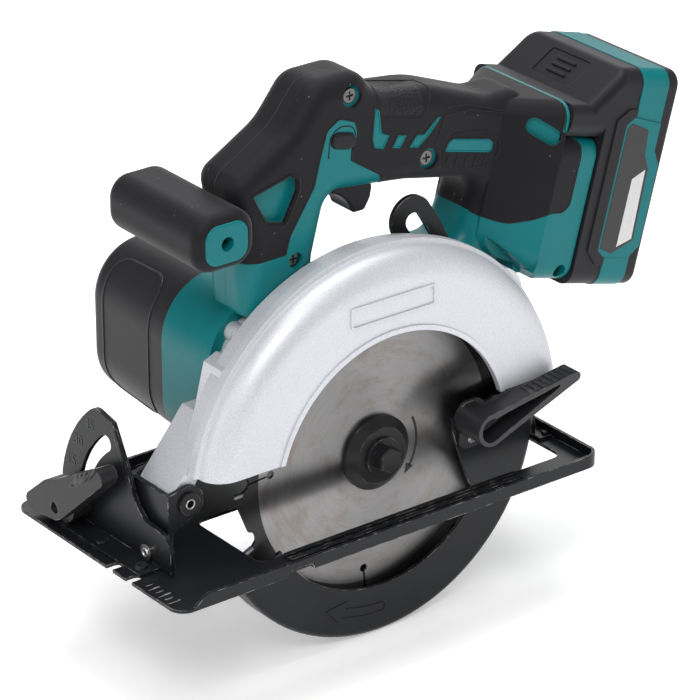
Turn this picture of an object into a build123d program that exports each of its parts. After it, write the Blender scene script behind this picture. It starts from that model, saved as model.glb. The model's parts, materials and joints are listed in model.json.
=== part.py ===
"""Cordless circular saw with a 165 mm blade on the left of its motor.

Frame: millimetres, +Z up, the sole of the base plate lies on Z = 0.
X runs from the front of the base back towards the battery, the blade turns in the plane
Y = 0, and the motor lies on the +Y side.  The saw stands at full depth, square to the
sole, with its lower guard closed.
"""
from build123d import *
from math import acos, asin, atan2, cos, degrees, hypot, pi, radians, sin, sqrt, tan
import os

os.makedirs("parts", exist_ok=True)

# ---------------------------------------------------------------- driving sizes
BLADE_D = 165.0              # blade over the carbide tips
BLADE_T = 1.6                # blade body
KERF = 2.2                   # width of the carbide tips
BLADE_BORE = 20.0
TEETH = 16
ARBOR_Z = 26.0               # arbor above the sole at full depth

SOLE_FRONT = -141.0          # front edge of the base
SOLE_REAR = 111.0
SOLE_NEAR = -39.0            # blade-side edge
SOLE_FAR = 97.0
SHEET = 1.6                  # base sheet
RIM_H = 6.6                  # upturned rim, measured from the sole

GUARD_R = 106.0              # outside of the upper guard
GUARD_WALL = 2.6
GUARD_NEAR = -16.6           # blade-side face of the upper guard
GUARD_BACK = 12.0            # motor-side face of its back wall
GUARD_OPENING_R = 67.0
GUARD_FOOT_Z = 44.5          # lower ends of the upper guard

LOWER_R = 94.0               # outside of the lower guard
LOWER_WALL = 1.6
LOWER_NEAR = -8.6            # blade-side face of the lower guard
LOWER_BACK = 7.5
LOWER_OPENING_R = 68.5
LOWER_START = -153.0         # front end of the lower guard, degrees about the arbor
LOWER_END = 10.0

GEAR_LINE = 129.0            # direction from the arbor to the motor, degrees
GEAR_CENTRES = 27.0          # distance between neighbouring shafts
GEAR_MODULE = 1.0
SPINDLE_TEETH = 38
LAY_PINION_TEETH = 16
LAY_GEAR_TEETH = 36
MOTOR_PINION_TEETH = 18

DEPTH_PIVOT_X = -108.0       # front pin on which the saw is raised
DEPTH_PIVOT_Z = 32.0
DEPTH_SLOT_R = 175.0         # slot of the depth guide, about the front pin
BEVEL_PIVOT_Y = 10.0         # axis on which the saw tilts
BEVEL_PIVOT_Z = 7.5
BEVEL_SLOT_R = 54.0
BEVEL_PLATE_X = -124.0       # front face of the quadrant

HANDLE_Y = 30.0              # split plane of the housing, middle of the handle
RING_NEAR = 24.0             # motor housing starts here
RING_FAR = 62.0
CAP_FAR = 128.0              # end of the motor cap
PACK_LEAN = 15.0             # lean of the battery, degrees
PACK_X = 170.0               # middle of the battery's rear face
PACK_Z = 123.0
PACK_W = 75.0

RUN = 0.05                   # radial clearance of a running fit
GAP = 0.3                    # gap between parts that only stand beside each other
SKIN = 2.2                   # thickness of the rubber over the handle
THROUGH = 120.0              # cuts that pass right through


# ---------------------------------------------------------------- helpers
def side(y):
    """Plane at depth y that looks at the saw from the blade side: local x = X, local y = Z.
    Extruding by a positive amount goes towards the blade side."""
    return Plane.XZ.offset(-y)


def cross(x):
    """Plane across the saw at x: local x = Y, local y = Z.
    Extruding by a positive amount goes towards the rear."""
    return Plane.YZ.offset(x)


def about(centre_x, centre_z, radius, angle):
    """Point at a radius and an angle in degrees, in the side view."""
    return (centre_x + radius * cos(radians(angle)), centre_z + radius * sin(radians(angle)))


def save(part, name):
    """Label a part and write it."""
    part.label = name
    export_step(part, f"parts/{name}.step")
    return part


def gear_outline(teeth, module, turn, thinning=0.12):
    """Corner points of a spur gear with 20 degree involute teeth, one centred at turn."""
    pitch_r = teeth * module / 2
    base_r = pitch_r * cos(radians(20))
    root_r = pitch_r - 1.25 * module
    tip_r = pitch_r + module
    start_r = max(base_r, root_r)
    half_tooth = pi / (2 * teeth) - thinning / (2 * pitch_r)
    inv_pitch = tan(radians(20)) - radians(20)
    flank = []
    for step in range(4):
        r = start_r + (tip_r - start_r) * step / 3
        pressure = acos(min(1.0, base_r / r))
        flank.append((r, half_tooth + inv_pitch - tan(pressure) + pressure))
    flank.insert(0, (root_r, flank[0][1]))
    points = []
    for tooth in range(teeth):
        centre = radians(turn + 360 / teeth * tooth)
        points += [(r * cos(centre - a), r * sin(centre - a)) for r, a in flank]
        points += [(r * cos(centre + a), r * sin(centre + a)) for r, a in reversed(flank)]
    return points


def gear(centre, teeth, turn, y_from, y_to):
    """Spur gear added to the part being built, with its axis along Y."""
    with BuildSketch(side(y_to)) as outline:
        with Locations(centre):
            Polygon(*gear_outline(teeth, GEAR_MODULE, turn), align=None)
    extrude(outline.sketch, amount=y_to - y_from)


def arc_slot(centre, radius, half, start, end):
    """Outline of a curved slot about a centre, between two angles in degrees."""
    middle = (start + end) / 2
    with BuildSketch() as slot:
        with BuildLine():
            outer = [about(*centre, radius + half, angle) for angle in (start, middle, end)]
            inner = [about(*centre, radius - half, angle) for angle in (end, middle, start)]
            over = degrees(half / radius)
            ThreePointArc(*outer)
            ThreePointArc(outer[2], about(*centre, radius, end + over), inner[0])
            ThreePointArc(*inner)
            ThreePointArc(inner[2], about(*centre, radius, start - over), outer[0])
        make_face()
    return slot.sketch


LAY_XZ = about(0, ARBOR_Z, GEAR_CENTRES, GEAR_LINE)
MOTOR_XZ = about(0, ARBOR_Z, 2 * GEAR_CENTRES, GEAR_LINE)
ARBOR_XZ = (0, ARBOR_Z)

# ---------------------------------------------------------------- blade, flanges, bolt, spindle
BLADE_R = BLADE_D / 2
PITCH_ANGLE = 360 / TEETH
FIRST_TIP = 179.3                          # angle of one carbide tip
GULLET_DEPTH = 8.6
SEAT = 5.0                                 # height of a carbide tip
RELIEF_R = 61.5                            # stress-relief holes
RELIEF_HOLE_R = 2.0
RELIEF_SLIT = 0.9
INNER_FLANGE_R = 18.0
INNER_FLANGE_T = 3.6
OUTER_FLANGE_R = 19.0
OUTER_FLANGE_T = 6.2
SPINDLE_R = 6.0
SPINDLE_END = 35.2
SHOULDER_R = 8.6             # notched shoulder that the spindle lock drops into
NOTCH_DEPTH = 1.8
BOLT_HEX = 12.0
BOLT_THREAD_R = 4.0
NEAR = -BLADE_T / 2                        # blade-side face of the blade
FAR = BLADE_T / 2


def blade_point(depth, angle):
    """Point a given depth below the blade's tip circle."""
    return about(0, ARBOR_Z, BLADE_R - depth, angle)


with BuildPart() as blade:
    with BuildSketch(side(FAR)):
        # clockwise seen from the blade side: each tooth has its gullet at the lower angle
        with BuildLine():
            for tooth in range(TEETH):
                tip = FIRST_TIP + PITCH_ANGLE * tooth
                last_tip = tip - PITCH_ANGLE
                gullet_start = blade_point(5.9, tip - 6.4)
                gullet_end = blade_point(GULLET_DEPTH - 1.0, tip - 1.2)
                Line(blade_point(0.5, last_tip + 1.1), gullet_start)
                ThreePointArc(gullet_start, blade_point(GULLET_DEPTH, tip - 3.1), gullet_end)
                Polyline(gullet_end, blade_point(SEAT + 0.2, tip - 0.1),
                         blade_point(SEAT, tip + 0.9), blade_point(0.5, tip + 1.1))
        make_face()
        with Locations(ARBOR_XZ):
            Circle(BLADE_BORE / 2, mode=Mode.SUBTRACT)
        for quarter in range(4):
            tip = FIRST_TIP + PITCH_ANGLE * (TEETH // 4) * quarter
            hole = about(0, ARBOR_Z, RELIEF_R, tip - 5.0)
            mouth = blade_point(GULLET_DEPTH - 0.5, tip - 3.1)
            middle = ((hole[0] + mouth[0]) / 2, (hole[1] + mouth[1]) / 2)
            length = hypot(mouth[0] - hole[0], mouth[1] - hole[1])
            lean = degrees(atan2(mouth[1] - hole[1], mouth[0] - hole[0]))
            with Locations(hole):
                Circle(RELIEF_HOLE_R, mode=Mode.SUBTRACT)
            with Locations(middle):
                Rectangle(length, RELIEF_SLIT, rotation=lean, mode=Mode.SUBTRACT)
    extrude(amount=BLADE_T)
save(blade.part, "saw_blade")

with BuildPart() as carbide:
    with BuildSketch(side(KERF / 2)):
        for tooth in range(TEETH):
            tip = FIRST_TIP + PITCH_ANGLE * tooth
            with BuildLine():
                Polyline(blade_point(SEAT + 0.2, tip - 0.1), blade_point(SEAT, tip + 0.9),
                         blade_point(0.5, tip + 1.1), blade_point(0.35, tip + 1.15),
                         blade_point(0, tip), close=True)
            make_face()
    extrude(amount=KERF)
save(carbide.part, "carbide_tips")

with BuildPart() as inner_flange:
    with BuildSketch(side(FAR + INNER_FLANGE_T)):
        with Locations(ARBOR_XZ):
            Circle(INNER_FLANGE_R)
    extrude(amount=INNER_FLANGE_T)
    # boss that centres the blade
    with BuildSketch(side(FAR)):
        with Locations(ARBOR_XZ):
            Circle(BLADE_BORE / 2 - 0.04)
    extrude(amount=BLADE_T - 0.2)
    # relieved face, so that only the rim grips the blade
    with BuildSketch(side(FAR)):
        with Locations(ARBOR_XZ):
            Circle(INNER_FLANGE_R - 4)
            Circle(BLADE_BORE / 2 + 0.5, mode=Mode.SUBTRACT)
    extrude(amount=-0.6, mode=Mode.SUBTRACT)
    with BuildSketch(side(FAR + INNER_FLANGE_T)):
        with Locations(ARBOR_XZ):
            Circle(SPINDLE_R - 1)
    extrude(amount=INNER_FLANGE_T + BLADE_T, mode=Mode.SUBTRACT)
save(inner_flange.part, "inner_flange")

with BuildPart() as outer_flange:
    with BuildSketch(side(NEAR)):
        with Locations(ARBOR_XZ):
            Circle(OUTER_FLANGE_R)
    extrude(amount=OUTER_FLANGE_T)
    chamfer(outer_flange.edges().group_by(Axis.Y)[0], length=3.6, length2=4.6)
    with BuildSketch(side(NEAR)):
        with Locations(ARBOR_XZ):
            Circle(OUTER_FLANGE_R - 5)
    extrude(amount=0.6, mode=Mode.SUBTRACT)
    with BuildSketch(side(NEAR)):
        with Locations(ARBOR_XZ):
            Circle(BOLT_THREAD_R + 0.2)
    extrude(amount=OUTER_FLANGE_T, mode=Mode.SUBTRACT)
save(outer_flange.part, "outer_flange")

BOLT_SEAT = NEAR - OUTER_FLANGE_T
with BuildPart() as blade_bolt:
    with BuildSketch(side(BOLT_SEAT)):
        with Locations(ARBOR_XZ):
            Circle(9.6)
    extrude(amount=1.6)
    with BuildSketch(side(BOLT_SEAT - 1.6)):
        with Locations(ARBOR_XZ):
            RegularPolygon(BOLT_HEX / 2, 6, major_radius=False, rotation=30)
    extrude(amount=6.2)
    chamfer(blade_bolt.edges().group_by(Axis.Y)[0], length=0.7)
    with BuildSketch(side(BOLT_SEAT + 26)):
        with Locations(ARBOR_XZ):
            Circle(BOLT_THREAD_R)
    extrude(amount=26)
save(blade_bolt.part, "blade_bolt")

with BuildPart() as spindle:
    with BuildSketch(side(SPINDLE_END)):
        with Locations(ARBOR_XZ):
            Circle(SPINDLE_R)
    extrude(amount=SPINDLE_END - FAR - INNER_FLANGE_T)
    # neck that carries the inner flange
    with BuildSketch(side(FAR + INNER_FLANGE_T)):
        with Locations(ARBOR_XZ):
            Circle(SPINDLE_R - 1)
    extrude(amount=INNER_FLANGE_T + BLADE_T - 0.4)
    # shoulder that the gear stands against
    with BuildSketch(side(19.4)):
        with Locations(ARBOR_XZ):
            Circle(SHOULDER_R)
            with PolarLocations(SHOULDER_R, 12):
                Rectangle(2 * NOTCH_DEPTH, 2.4, mode=Mode.SUBTRACT)
    extrude(amount=2.2)
    # thread for the blade bolt
    with BuildSketch(side(FAR + INNER_FLANGE_T - 5)):
        with Locations(ARBOR_XZ):
            Circle(BOLT_THREAD_R)
    extrude(amount=-24, mode=Mode.SUBTRACT)
save(spindle.part, "spindle")

GEAR_NEAR = 19.6
GEAR_FAR = 26.2
with BuildPart() as spindle_gear:
    gear(ARBOR_XZ, SPINDLE_TEETH, GEAR_LINE, GEAR_NEAR, GEAR_FAR)
    with BuildSketch(side(GEAR_FAR)):
        with Locations(ARBOR_XZ):
            Circle(SPINDLE_R)
    extrude(amount=GEAR_FAR - GEAR_NEAR, mode=Mode.SUBTRACT)
save(spindle_gear.part, "spindle_gear")

# ---------------------------------------------------------------- gear train and motor
LAY_SHAFT_R = 4.0
MOTOR_SHAFT_R = 4.0
STAGE1_NEAR = 37.5           # motor pinion and lay gear
STAGE1_FAR = 43.5
PLATE_NEAR = 27.4            # bearing plate behind the spindle gear
PLATE_FAR = 36.4
CORE_R = 23.0
CORE_NEAR = 74.0
CORE_FAR = 104.0
FAN_R = 31.0
FAN_NEAR = 57.0
FAN_T = 9.0
CAN_R = 31.0
CAN_NEAR = 69.0
CAN_FAR = 109.0
AIR = 0.8                    # air gap round the rotor core

# the lay pinion's gaps face the spindle gear's teeth, and so on down the train
LAY_PINION_TURN = GEAR_LINE + 180 + 180 / LAY_PINION_TEETH
LAY_GEAR_TURN = GEAR_LINE
MOTOR_PINION_TURN = GEAR_LINE + 180 + 180 / MOTOR_PINION_TEETH

with BuildPart() as lay_gear:
    with BuildSketch(side(STAGE1_FAR + 2)):
        with Locations(LAY_XZ):
            Circle(LAY_SHAFT_R)
    extrude(amount=STAGE1_FAR + 2 - 15)
    gear(LAY_XZ, LAY_PINION_TEETH, LAY_PINION_TURN, GEAR_NEAR - 0.4, GEAR_FAR + 0.4)
    gear(LAY_XZ, LAY_GEAR_TEETH, LAY_GEAR_TURN, STAGE1_NEAR, STAGE1_FAR)
    # lightening groove in the web of the large gear
    with BuildSketch(side(STAGE1_NEAR)):
        with Locations(LAY_XZ):
            Circle(14.0)
            Circle(7.0, mode=Mode.SUBTRACT)
    extrude(amount=-1.8, mode=Mode.SUBTRACT)
save(lay_gear.part, "intermediate_gear")

with BuildPart() as rotor_shaft:
    with BuildSketch(side(CAP_FAR - 4)):
        with Locations(MOTOR_XZ):
            Circle(MOTOR_SHAFT_R)
    extrude(amount=CAP_FAR - 4 - STAGE1_NEAR + 0.5)
    gear(MOTOR_XZ, MOTOR_PINION_TEETH, MOTOR_PINION_TURN, STAGE1_NEAR - 0.5, STAGE1_FAR + 0.5)
save(rotor_shaft.part, "rotor_shaft")

with BuildPart() as rotor_core:
    with BuildSketch(side(CORE_FAR)):
        with Locations(MOTOR_XZ):
            Circle(CORE_R)
            with PolarLocations(CORE_R - 5, 12):
                Rectangle(8.4, 5.0, mode=Mode.SUBTRACT)
            with PolarLocations(CORE_R - 0.8, 12):
                Rectangle(3.0, 1.8, mode=Mode.SUBTRACT)
            Circle(MOTOR_SHAFT_R, mode=Mode.SUBTRACT)
    extrude(amount=CORE_FAR - CORE_NEAR)
save(rotor_core.part, "rotor_core")

WINDING_R = CORE_R - 3
with BuildPart() as windings:
    for y_to, thickness in ((CORE_NEAR, 4.0), (CORE_FAR + 4.0, 4.0)):
        with BuildSketch(side(y_to)):
            with Locations(MOTOR_XZ):
                Circle(WINDING_R)
                Circle(MOTOR_SHAFT_R, mode=Mode.SUBTRACT)
        extrude(amount=thickness)
        fillet(windings.edges().filter_by(GeomType.CIRCLE).filter_by(
            lambda e: e.radius > WINDING_R - 0.1).filter_by(
            lambda e: abs(e.center().Y - (y_to if y_to > CORE_FAR else y_to - thickness)) < 0.1), 1.6)
save(windings.part, "rotor_windings")

with BuildPart() as commutator:
    with BuildSketch(side(CORE_FAR + 13)):
        with Locations(MOTOR_XZ):
            Circle(9.5)
            with PolarLocations(9.5, 24):
                Rectangle(1.6, 0.6, mode=Mode.SUBTRACT)
            Circle(MOTOR_SHAFT_R, mode=Mode.SUBTRACT)
    extrude(amount=9)
save(commutator.part, "commutator")

with BuildPart() as fan:
    with BuildSketch(side(FAN_NEAR + 2)):
        with Locations(MOTOR_XZ):
            Circle(FAN_R)
    extrude(amount=2)
    with BuildSketch(side(FAN_NEAR + FAN_T)):
        with Locations(MOTOR_XZ):
            Circle(9)
            with PolarLocations(20.5, 11):
                Rectangle(21, 1.6)
    extrude(amount=FAN_T - 2)
    with BuildSketch(side(FAN_NEAR + FAN_T)):
        with Locations(MOTOR_XZ):
            Circle(MOTOR_SHAFT_R)
    extrude(amount=FAN_T, mode=Mode.SUBTRACT)
save(fan.part, "cooling_fan")

with BuildPart() as can:
    with BuildSketch(side(CAN_FAR)):
        with Locations(MOTOR_XZ):
            Circle(CAN_R)
            Circle(CAN_R - 2.2, mode=Mode.SUBTRACT)
    extrude(amount=CAN_FAR - CAN_NEAR)
save(can.part, "motor_can")

with BuildPart() as magnets:
    with BuildSketch(side(CORE_FAR)):
        with Locations(MOTOR_XZ):
            Circle(CAN_R - 2.2)
            Circle(CORE_R + AIR, mode=Mode.SUBTRACT)
            with PolarLocations(CAN_R, 4, start_angle=45):
                Rectangle(24, 7, mode=Mode.SUBTRACT)
    extrude(amount=CORE_FAR - CORE_NEAR)
save(magnets.part, "motor_magnets")

with BuildPart() as brushes:
    for sign in (1, -1):
        with BuildSketch(side(CORE_FAR + 12)):
            with Locations((MOTOR_XZ[0] + sign * 14.0, MOTOR_XZ[1])):
                Rectangle(8.6, 5.0)
        extrude(amount=6)
save(brushes.part, "carbon_brushes")

FRONT_BEARING_Y = (5.6, 13.6)
REAR_BEARING_Y = (28.4, 35.4)
MOTOR_FRONT_Y = (46.0, 53.0)
MOTOR_REAR_Y = (117.6, 123.6)
BEARINGS = [(ARBOR_XZ, 14.0, SPINDLE_R, FRONT_BEARING_Y), (ARBOR_XZ, 11.0, SPINDLE_R, REAR_BEARING_Y),
            (MOTOR_XZ, 11.0, MOTOR_SHAFT_R, MOTOR_FRONT_Y),
            (MOTOR_XZ, 9.5, MOTOR_SHAFT_R, MOTOR_REAR_Y)]
with BuildPart() as bearings:
    for centre, outer_r, shaft_r, (y_from, y_to) in BEARINGS:
        with BuildSketch(side(y_to)):
            with Locations(centre):
                Circle(outer_r)
                Circle(shaft_r + RUN, mode=Mode.SUBTRACT)
        extrude(amount=y_to - y_from)
save(bearings.part, "bearings")

# ---------------------------------------------------------------- gear housing
NECK_R = 17.5                # neck that the lower guard turns on
NECK_START = 4.5
CASE_R = 23.5                # gear housing round the spindle
CASE_WALL = 2.5
CASE_NEAR = 14.5
FLANGE_T = 3.4               # flange against the motor housing
RING_HALF = 44.0             # half the width of the motor housing
RING_CORNER = 30.0
LAY_CASE_R = 14.0
LOCK_PLATE_Y = 17.4          # sliding plate of the spindle lock
LOCK_PLATE_T = 1.6
LOCK_PLATE_W = 7.6
LOCK_GAP = 0.2

with BuildPart() as gear_housing:
    # outer body round the spindle and the intermediate shaft
    with BuildSketch(side(PLATE_NEAR)):
        with Locations(ARBOR_XZ):
            Circle(CASE_R)
        with Locations(LAY_XZ):
            Circle(LAY_CASE_R)
        make_hull()
    extrude(amount=PLATE_NEAR - GUARD_BACK)
    with BuildSketch(side(RING_NEAR)):
        with Locations(MOTOR_XZ):
            RectangleRounded(2 * RING_HALF - 12, 2 * RING_HALF - 12, RING_CORNER - 6)
    extrude(amount=FLANGE_T)
    # screw bosses on the flange
    with BuildSketch(side(RING_NEAR)):
        with Locations(MOTOR_XZ):
            with GridLocations(60, 60, 2, 2):
                Circle(5.0)
    extrude(amount=FLANGE_T + 1.6)
    with BuildSketch(side(CASE_NEAR + 0.1)):
        with Locations(ARBOR_XZ):
            Circle(NECK_R)
    extrude(amount=CASE_NEAR + 0.1 - NECK_START)
    # cup for the guard spring round the neck
    with BuildSketch(side(CASE_NEAR)):
        with Locations(ARBOR_XZ):
            Circle(CASE_R - CASE_WALL)
            Circle(NECK_R, mode=Mode.SUBTRACT)
    extrude(amount=CASE_NEAR - GUARD_BACK, mode=Mode.SUBTRACT)
    # gear chamber, open towards the motor
    with BuildSketch(side(PLATE_NEAR)):
        with Locations(ARBOR_XZ):
            Circle(CASE_R - CASE_WALL)
        with Locations(LAY_XZ):
            Circle(LAY_CASE_R - CASE_WALL)
        make_hull()
    extrude(amount=PLATE_NEAR - CASE_NEAR - CASE_WALL, mode=Mode.SUBTRACT)
    with BuildSketch(side(FRONT_BEARING_Y[1])):
        with Locations(ARBOR_XZ):
            Circle(14.0)
    extrude(amount=FRONT_BEARING_Y[1] - NECK_START, mode=Mode.SUBTRACT)
    with BuildSketch(side(CASE_NEAR + CASE_WALL)):
        with Locations(ARBOR_XZ):
            Circle(SPINDLE_R + 3.0)
    extrude(amount=CASE_WALL + 2, mode=Mode.SUBTRACT)
    with BuildSketch(side(CASE_NEAR + CASE_WALL)):
        with Locations(LAY_XZ):
            Circle(LAY_SHAFT_R + RUN)
    extrude(amount=2.2, mode=Mode.SUBTRACT)
    # slot for the spindle lock
    with BuildSketch(side(LOCK_PLATE_Y + LOCK_PLATE_T + LOCK_GAP)):
        with Locations((CASE_R - CASE_WALL - 2, ARBOR_Z)):
            Rectangle(8, LOCK_PLATE_W + 2 * LOCK_GAP, align=(Align.MIN, Align.CENTER))
    extrude(amount=LOCK_PLATE_T + 2 * LOCK_GAP, mode=Mode.SUBTRACT)
save(gear_housing.part, "gear_housing")

with BuildPart() as bearing_plate:
    with BuildSketch(side(PLATE_NEAR + 3)):
        with Locations(ARBOR_XZ):
            Circle(CASE_R - 1)
        with Locations(LAY_XZ):
            Circle(LAY_CASE_R - 1)
        make_hull()
    extrude(amount=3)
    with BuildSketch(side(PLATE_FAR)):
        with Locations(ARBOR_XZ):
            Circle(13.5)
        with Locations(LAY_XZ):
            Circle(7.5)
    extrude(amount=PLATE_FAR - PLATE_NEAR)
    with BuildSketch(side(REAR_BEARING_Y[1])):
        with Locations(ARBOR_XZ):
            Circle(11.0)
    extrude(amount=THROUGH, mode=Mode.SUBTRACT)
    with BuildSketch(side(PLATE_FAR)):
        with Locations(LAY_XZ):
            Circle(LAY_SHAFT_R + RUN)
    extrude(amount=THROUGH, mode=Mode.SUBTRACT)
save(bearing_plate.part, "bearing_plate")

# ---------------------------------------------------------------- upper guard
BEAD_R = GUARD_R + 2.0
BEAD_NEAR = -4.0
BEAD_FAR = 2.0
SHOULDER = 13.0              # rounding between the rim and the near face
ARM_NEAR = 2.2               # front arm, between the ears of the pivot bracket
ARM_FAR = 28.0
ARM_STEP = 18.6              # the arm is thinner beside the motor housing
ARM_END_R = 8.6
LIP_W = 2.6                  # raised lip round the opening
LIP_T = 0.8
FIELD_AT = (-1.0, 107.6)     # bare frame on the near face
FIELD_W = 50.0
FIELD_H = 11.0
PIN_R = 3.5
DEPTH_BOLT = about(DEPTH_PIVOT_X, DEPTH_PIVOT_Z, DEPTH_SLOT_R, 0)
radial = Plane((0, 0, ARBOR_Z), x_dir=(1, 0, 0), z_dir=(0, 0, 1))   # local x = radius, y = Y
arbor_axis = Axis((0, 0, ARBOR_Z), (0, 1, 0))

with BuildPart() as upper_guard:
    with BuildSketch(radial):
        with BuildLine():
            flat_end = GUARD_R - SHOULDER
            near_rim = GUARD_NEAR + SHOULDER * 0.9
            Line((20, GUARD_BACK), (20, GUARD_NEAR))
            Line((20, GUARD_NEAR), (flat_end, GUARD_NEAR))
            EllipticalCenterArc((flat_end, near_rim), SHOULDER, SHOULDER * 0.9,
                                start_angle=-90, arc_size=90)
            Polyline((GUARD_R, near_rim), (GUARD_R, BEAD_NEAR), (BEAD_R, BEAD_NEAR + 1),
                     (BEAD_R, BEAD_FAR), (GUARD_R - 1, BEAD_FAR), (GUARD_R - 1, GUARD_BACK),
                     (20, GUARD_BACK))
        make_face()
    revolve(axis=arbor_axis)
    # raised lip round the opening
    with BuildSketch(side(GUARD_NEAR)):
        with Locations(ARBOR_XZ):
            Circle(GUARD_OPENING_R + LIP_W)
    extrude(amount=LIP_T)
    # straight lower ends
    with BuildSketch(side(GUARD_BACK)):
        Rectangle(3 * GUARD_R, 3 * GUARD_R, align=(Align.CENTER, Align.MAX))
        with Locations((0, GUARD_FOOT_Z)):
            Rectangle(3 * GUARD_R, 2 * GUARD_R, align=(Align.CENTER, Align.MAX))
    extrude(amount=GUARD_BACK - GUARD_NEAR + 1, mode=Mode.SUBTRACT)
    # bare name field, a raised frame
    with BuildSketch(side(GUARD_NEAR)):
        with Locations(FIELD_AT):
            RectangleRounded(FIELD_W, FIELD_H, 1.5)
            RectangleRounded(FIELD_W - 2.4, FIELD_H - 2.4, 0.8, mode=Mode.SUBTRACT)
    extrude(amount=LIP_T)
    # hub that carries the gear housing
    with BuildSketch(side(GUARD_BACK)):
        with Locations(ARBOR_XZ):
            Circle(CASE_R + 1.5)
        Polygon((-CASE_R, ARBOR_Z), (CASE_R, ARBOR_Z), (60, GUARD_FOOT_Z + 4),
                (-60, GUARD_FOOT_Z + 4), align=None)
    extrude(amount=GUARD_WALL)
    # arm down to the front pivot
    pivot = (DEPTH_PIVOT_X, DEPTH_PIVOT_Z)
    with BuildSketch(side(ARM_FAR)):
        with Locations(pivot):
            Circle(ARM_END_R)
        Polygon((-115.0, 37.0), (-90.5, 67.0), (-80.5, 67.0), (-88.0, 50.0), (-101.0, 27.2),
                align=None)
    extrude(amount=ARM_FAR - ARM_NEAR)
    with BuildSketch(side(ARM_STEP)):
        Polygon((-115.0, 37.0), (-90.5, 67.0), (-84.5, 90.5), (-77.5, 93.5), (-66.0, 89.0),
                (-60.0, 70.0), (-88.0, 50.0), (-101.0, 27.2), align=None)
    extrude(amount=ARM_STEP - ARM_NEAR)
    # boss for the depth clamp
    with BuildSketch(side(17.4)):
        with Locations(DEPTH_BOLT):
            Circle(9.0)
        Polygon((56, 36), (78, 36), (84, 56), (50, 56), align=None)
    extrude(amount=17.4 - GUARD_BACK + GUARD_WALL)
    # rounded lug on the rear shoulder
    with BuildSketch(side(8)):
        with Locations(about(0, ARBOR_Z, 95, 39)):
            Circle(15.5)
    extrude(amount=10)
    # cavity for the blade and the lower guard
    with BuildSketch(radial):
        with BuildLine():
            flat_end = GUARD_R - SHOULDER
            near_in = GUARD_NEAR + GUARD_WALL
            inner_r = GUARD_R - 3.2
            Line((0, GUARD_BACK - GUARD_WALL), (0, near_in))
            Line((0, near_in), (flat_end, near_in))
            EllipticalCenterArc((flat_end, near_in + 10), inner_r - flat_end, 10,
                                start_angle=-90, arc_size=90)
            Polyline((inner_r, near_in + 10), (inner_r, GUARD_BACK - GUARD_WALL),
                     (0, GUARD_BACK - GUARD_WALL))
        make_face()
    revolve(axis=arbor_axis, mode=Mode.SUBTRACT)
    # opening in the near face
    with BuildSketch(side(GUARD_BACK - GUARD_WALL)):
        with Locations(ARBOR_XZ):
            Circle(GUARD_OPENING_R)
    extrude(amount=GUARD_BACK - GUARD_NEAR + LIP_T, mode=Mode.SUBTRACT)
    # bores: spindle neck, front pin, depth bolt
    with BuildSketch(side(GUARD_BACK)):
        with Locations(ARBOR_XZ):
            Circle(CASE_R - CASE_WALL)
    extrude(amount=GUARD_WALL, mode=Mode.SUBTRACT)
    with BuildSketch(side(ARM_FAR)):
        with Locations(pivot):
            Circle(PIN_R + RUN)
    extrude(amount=ARM_FAR - ARM_NEAR, mode=Mode.SUBTRACT)
    with BuildSketch(side(18)):
        with Locations(DEPTH_BOLT):
            Circle(3.0)
    extrude(amount=10, mode=Mode.SUBTRACT)
save(upper_guard.part, "upper_guard")

# ---------------------------------------------------------------- lower guard
HUB_R = 22.5
LEVER_NEAR = -28.0
LEVER_FAR = GUARD_NEAR - 1.0
LOOP = (51.0, 32.0)          # rounded end of the guard lever
LOOP_R = 8.5
LEVER_TIP = (103.0, 45.5)
LEVER_T = 2.2

with BuildPart() as lower_guard:
    with BuildSketch(radial):
        with BuildLine():
            Polyline((30, LOWER_BACK), (30, LOWER_NEAR), (LOWER_R - 3.2, LOWER_NEAR))
            RadiusArc((LOWER_R - 3.2, LOWER_NEAR), (LOWER_R, LOWER_NEAR + 3.2), -3.2)
            Polyline((LOWER_R, LOWER_NEAR + 3.2), (LOWER_R, LOWER_BACK), (30, LOWER_BACK))
        make_face()
    revolve(axis=arbor_axis)
    with BuildSketch(side(LOWER_BACK)):
        with Locations(ARBOR_XZ):
            Circle(31)
    extrude(amount=LOWER_WALL)
    inner_r = LOWER_R - LOWER_WALL
    with BuildSketch(radial):
        with BuildLine():
            near_in = LOWER_NEAR + LOWER_WALL
            Polyline((0, LOWER_BACK - LOWER_WALL), (0, near_in), (inner_r - 2, near_in),
                     (inner_r, near_in + 2), (inner_r, LOWER_BACK - LOWER_WALL),
                     (0, LOWER_BACK - LOWER_WALL))
        make_face()
    revolve(axis=arbor_axis, mode=Mode.SUBTRACT)
    # opening of the near wall, with a web left standing under the lever
    with BuildSketch(side(0)):
        with Locations(ARBOR_XZ):
            Circle(LOWER_OPENING_R)
        Polygon((40, 60), (42, 26), (52.5, -4), (62, -20), (90, -20), (90, 60), align=None,
                mode=Mode.SUBTRACT)
    extrude(amount=-LOWER_NEAR + 1, mode=Mode.SUBTRACT)
    # only the closed sector stays, apart from the hub
    wedge = [about(0, ARBOR_Z, 2 * LOWER_R, LOWER_END + step * (360 + LOWER_START - LOWER_END) / 5)
             for step in range(6)]
    with BuildSketch(side(LOWER_BACK)):
        Polygon(ARBOR_XZ, *wedge, align=None)
        with Locations(ARBOR_XZ):
            Circle(HUB_R, mode=Mode.SUBTRACT)
    extrude(amount=LOWER_BACK - LOWER_NEAR, mode=Mode.SUBTRACT)
    with BuildSketch(side(LOWER_BACK)):
        with Locations(ARBOR_XZ):
            Circle(NECK_R + RUN)
    extrude(amount=LOWER_WALL, mode=Mode.SUBTRACT)
save(lower_guard.part, "lower_guard")

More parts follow.
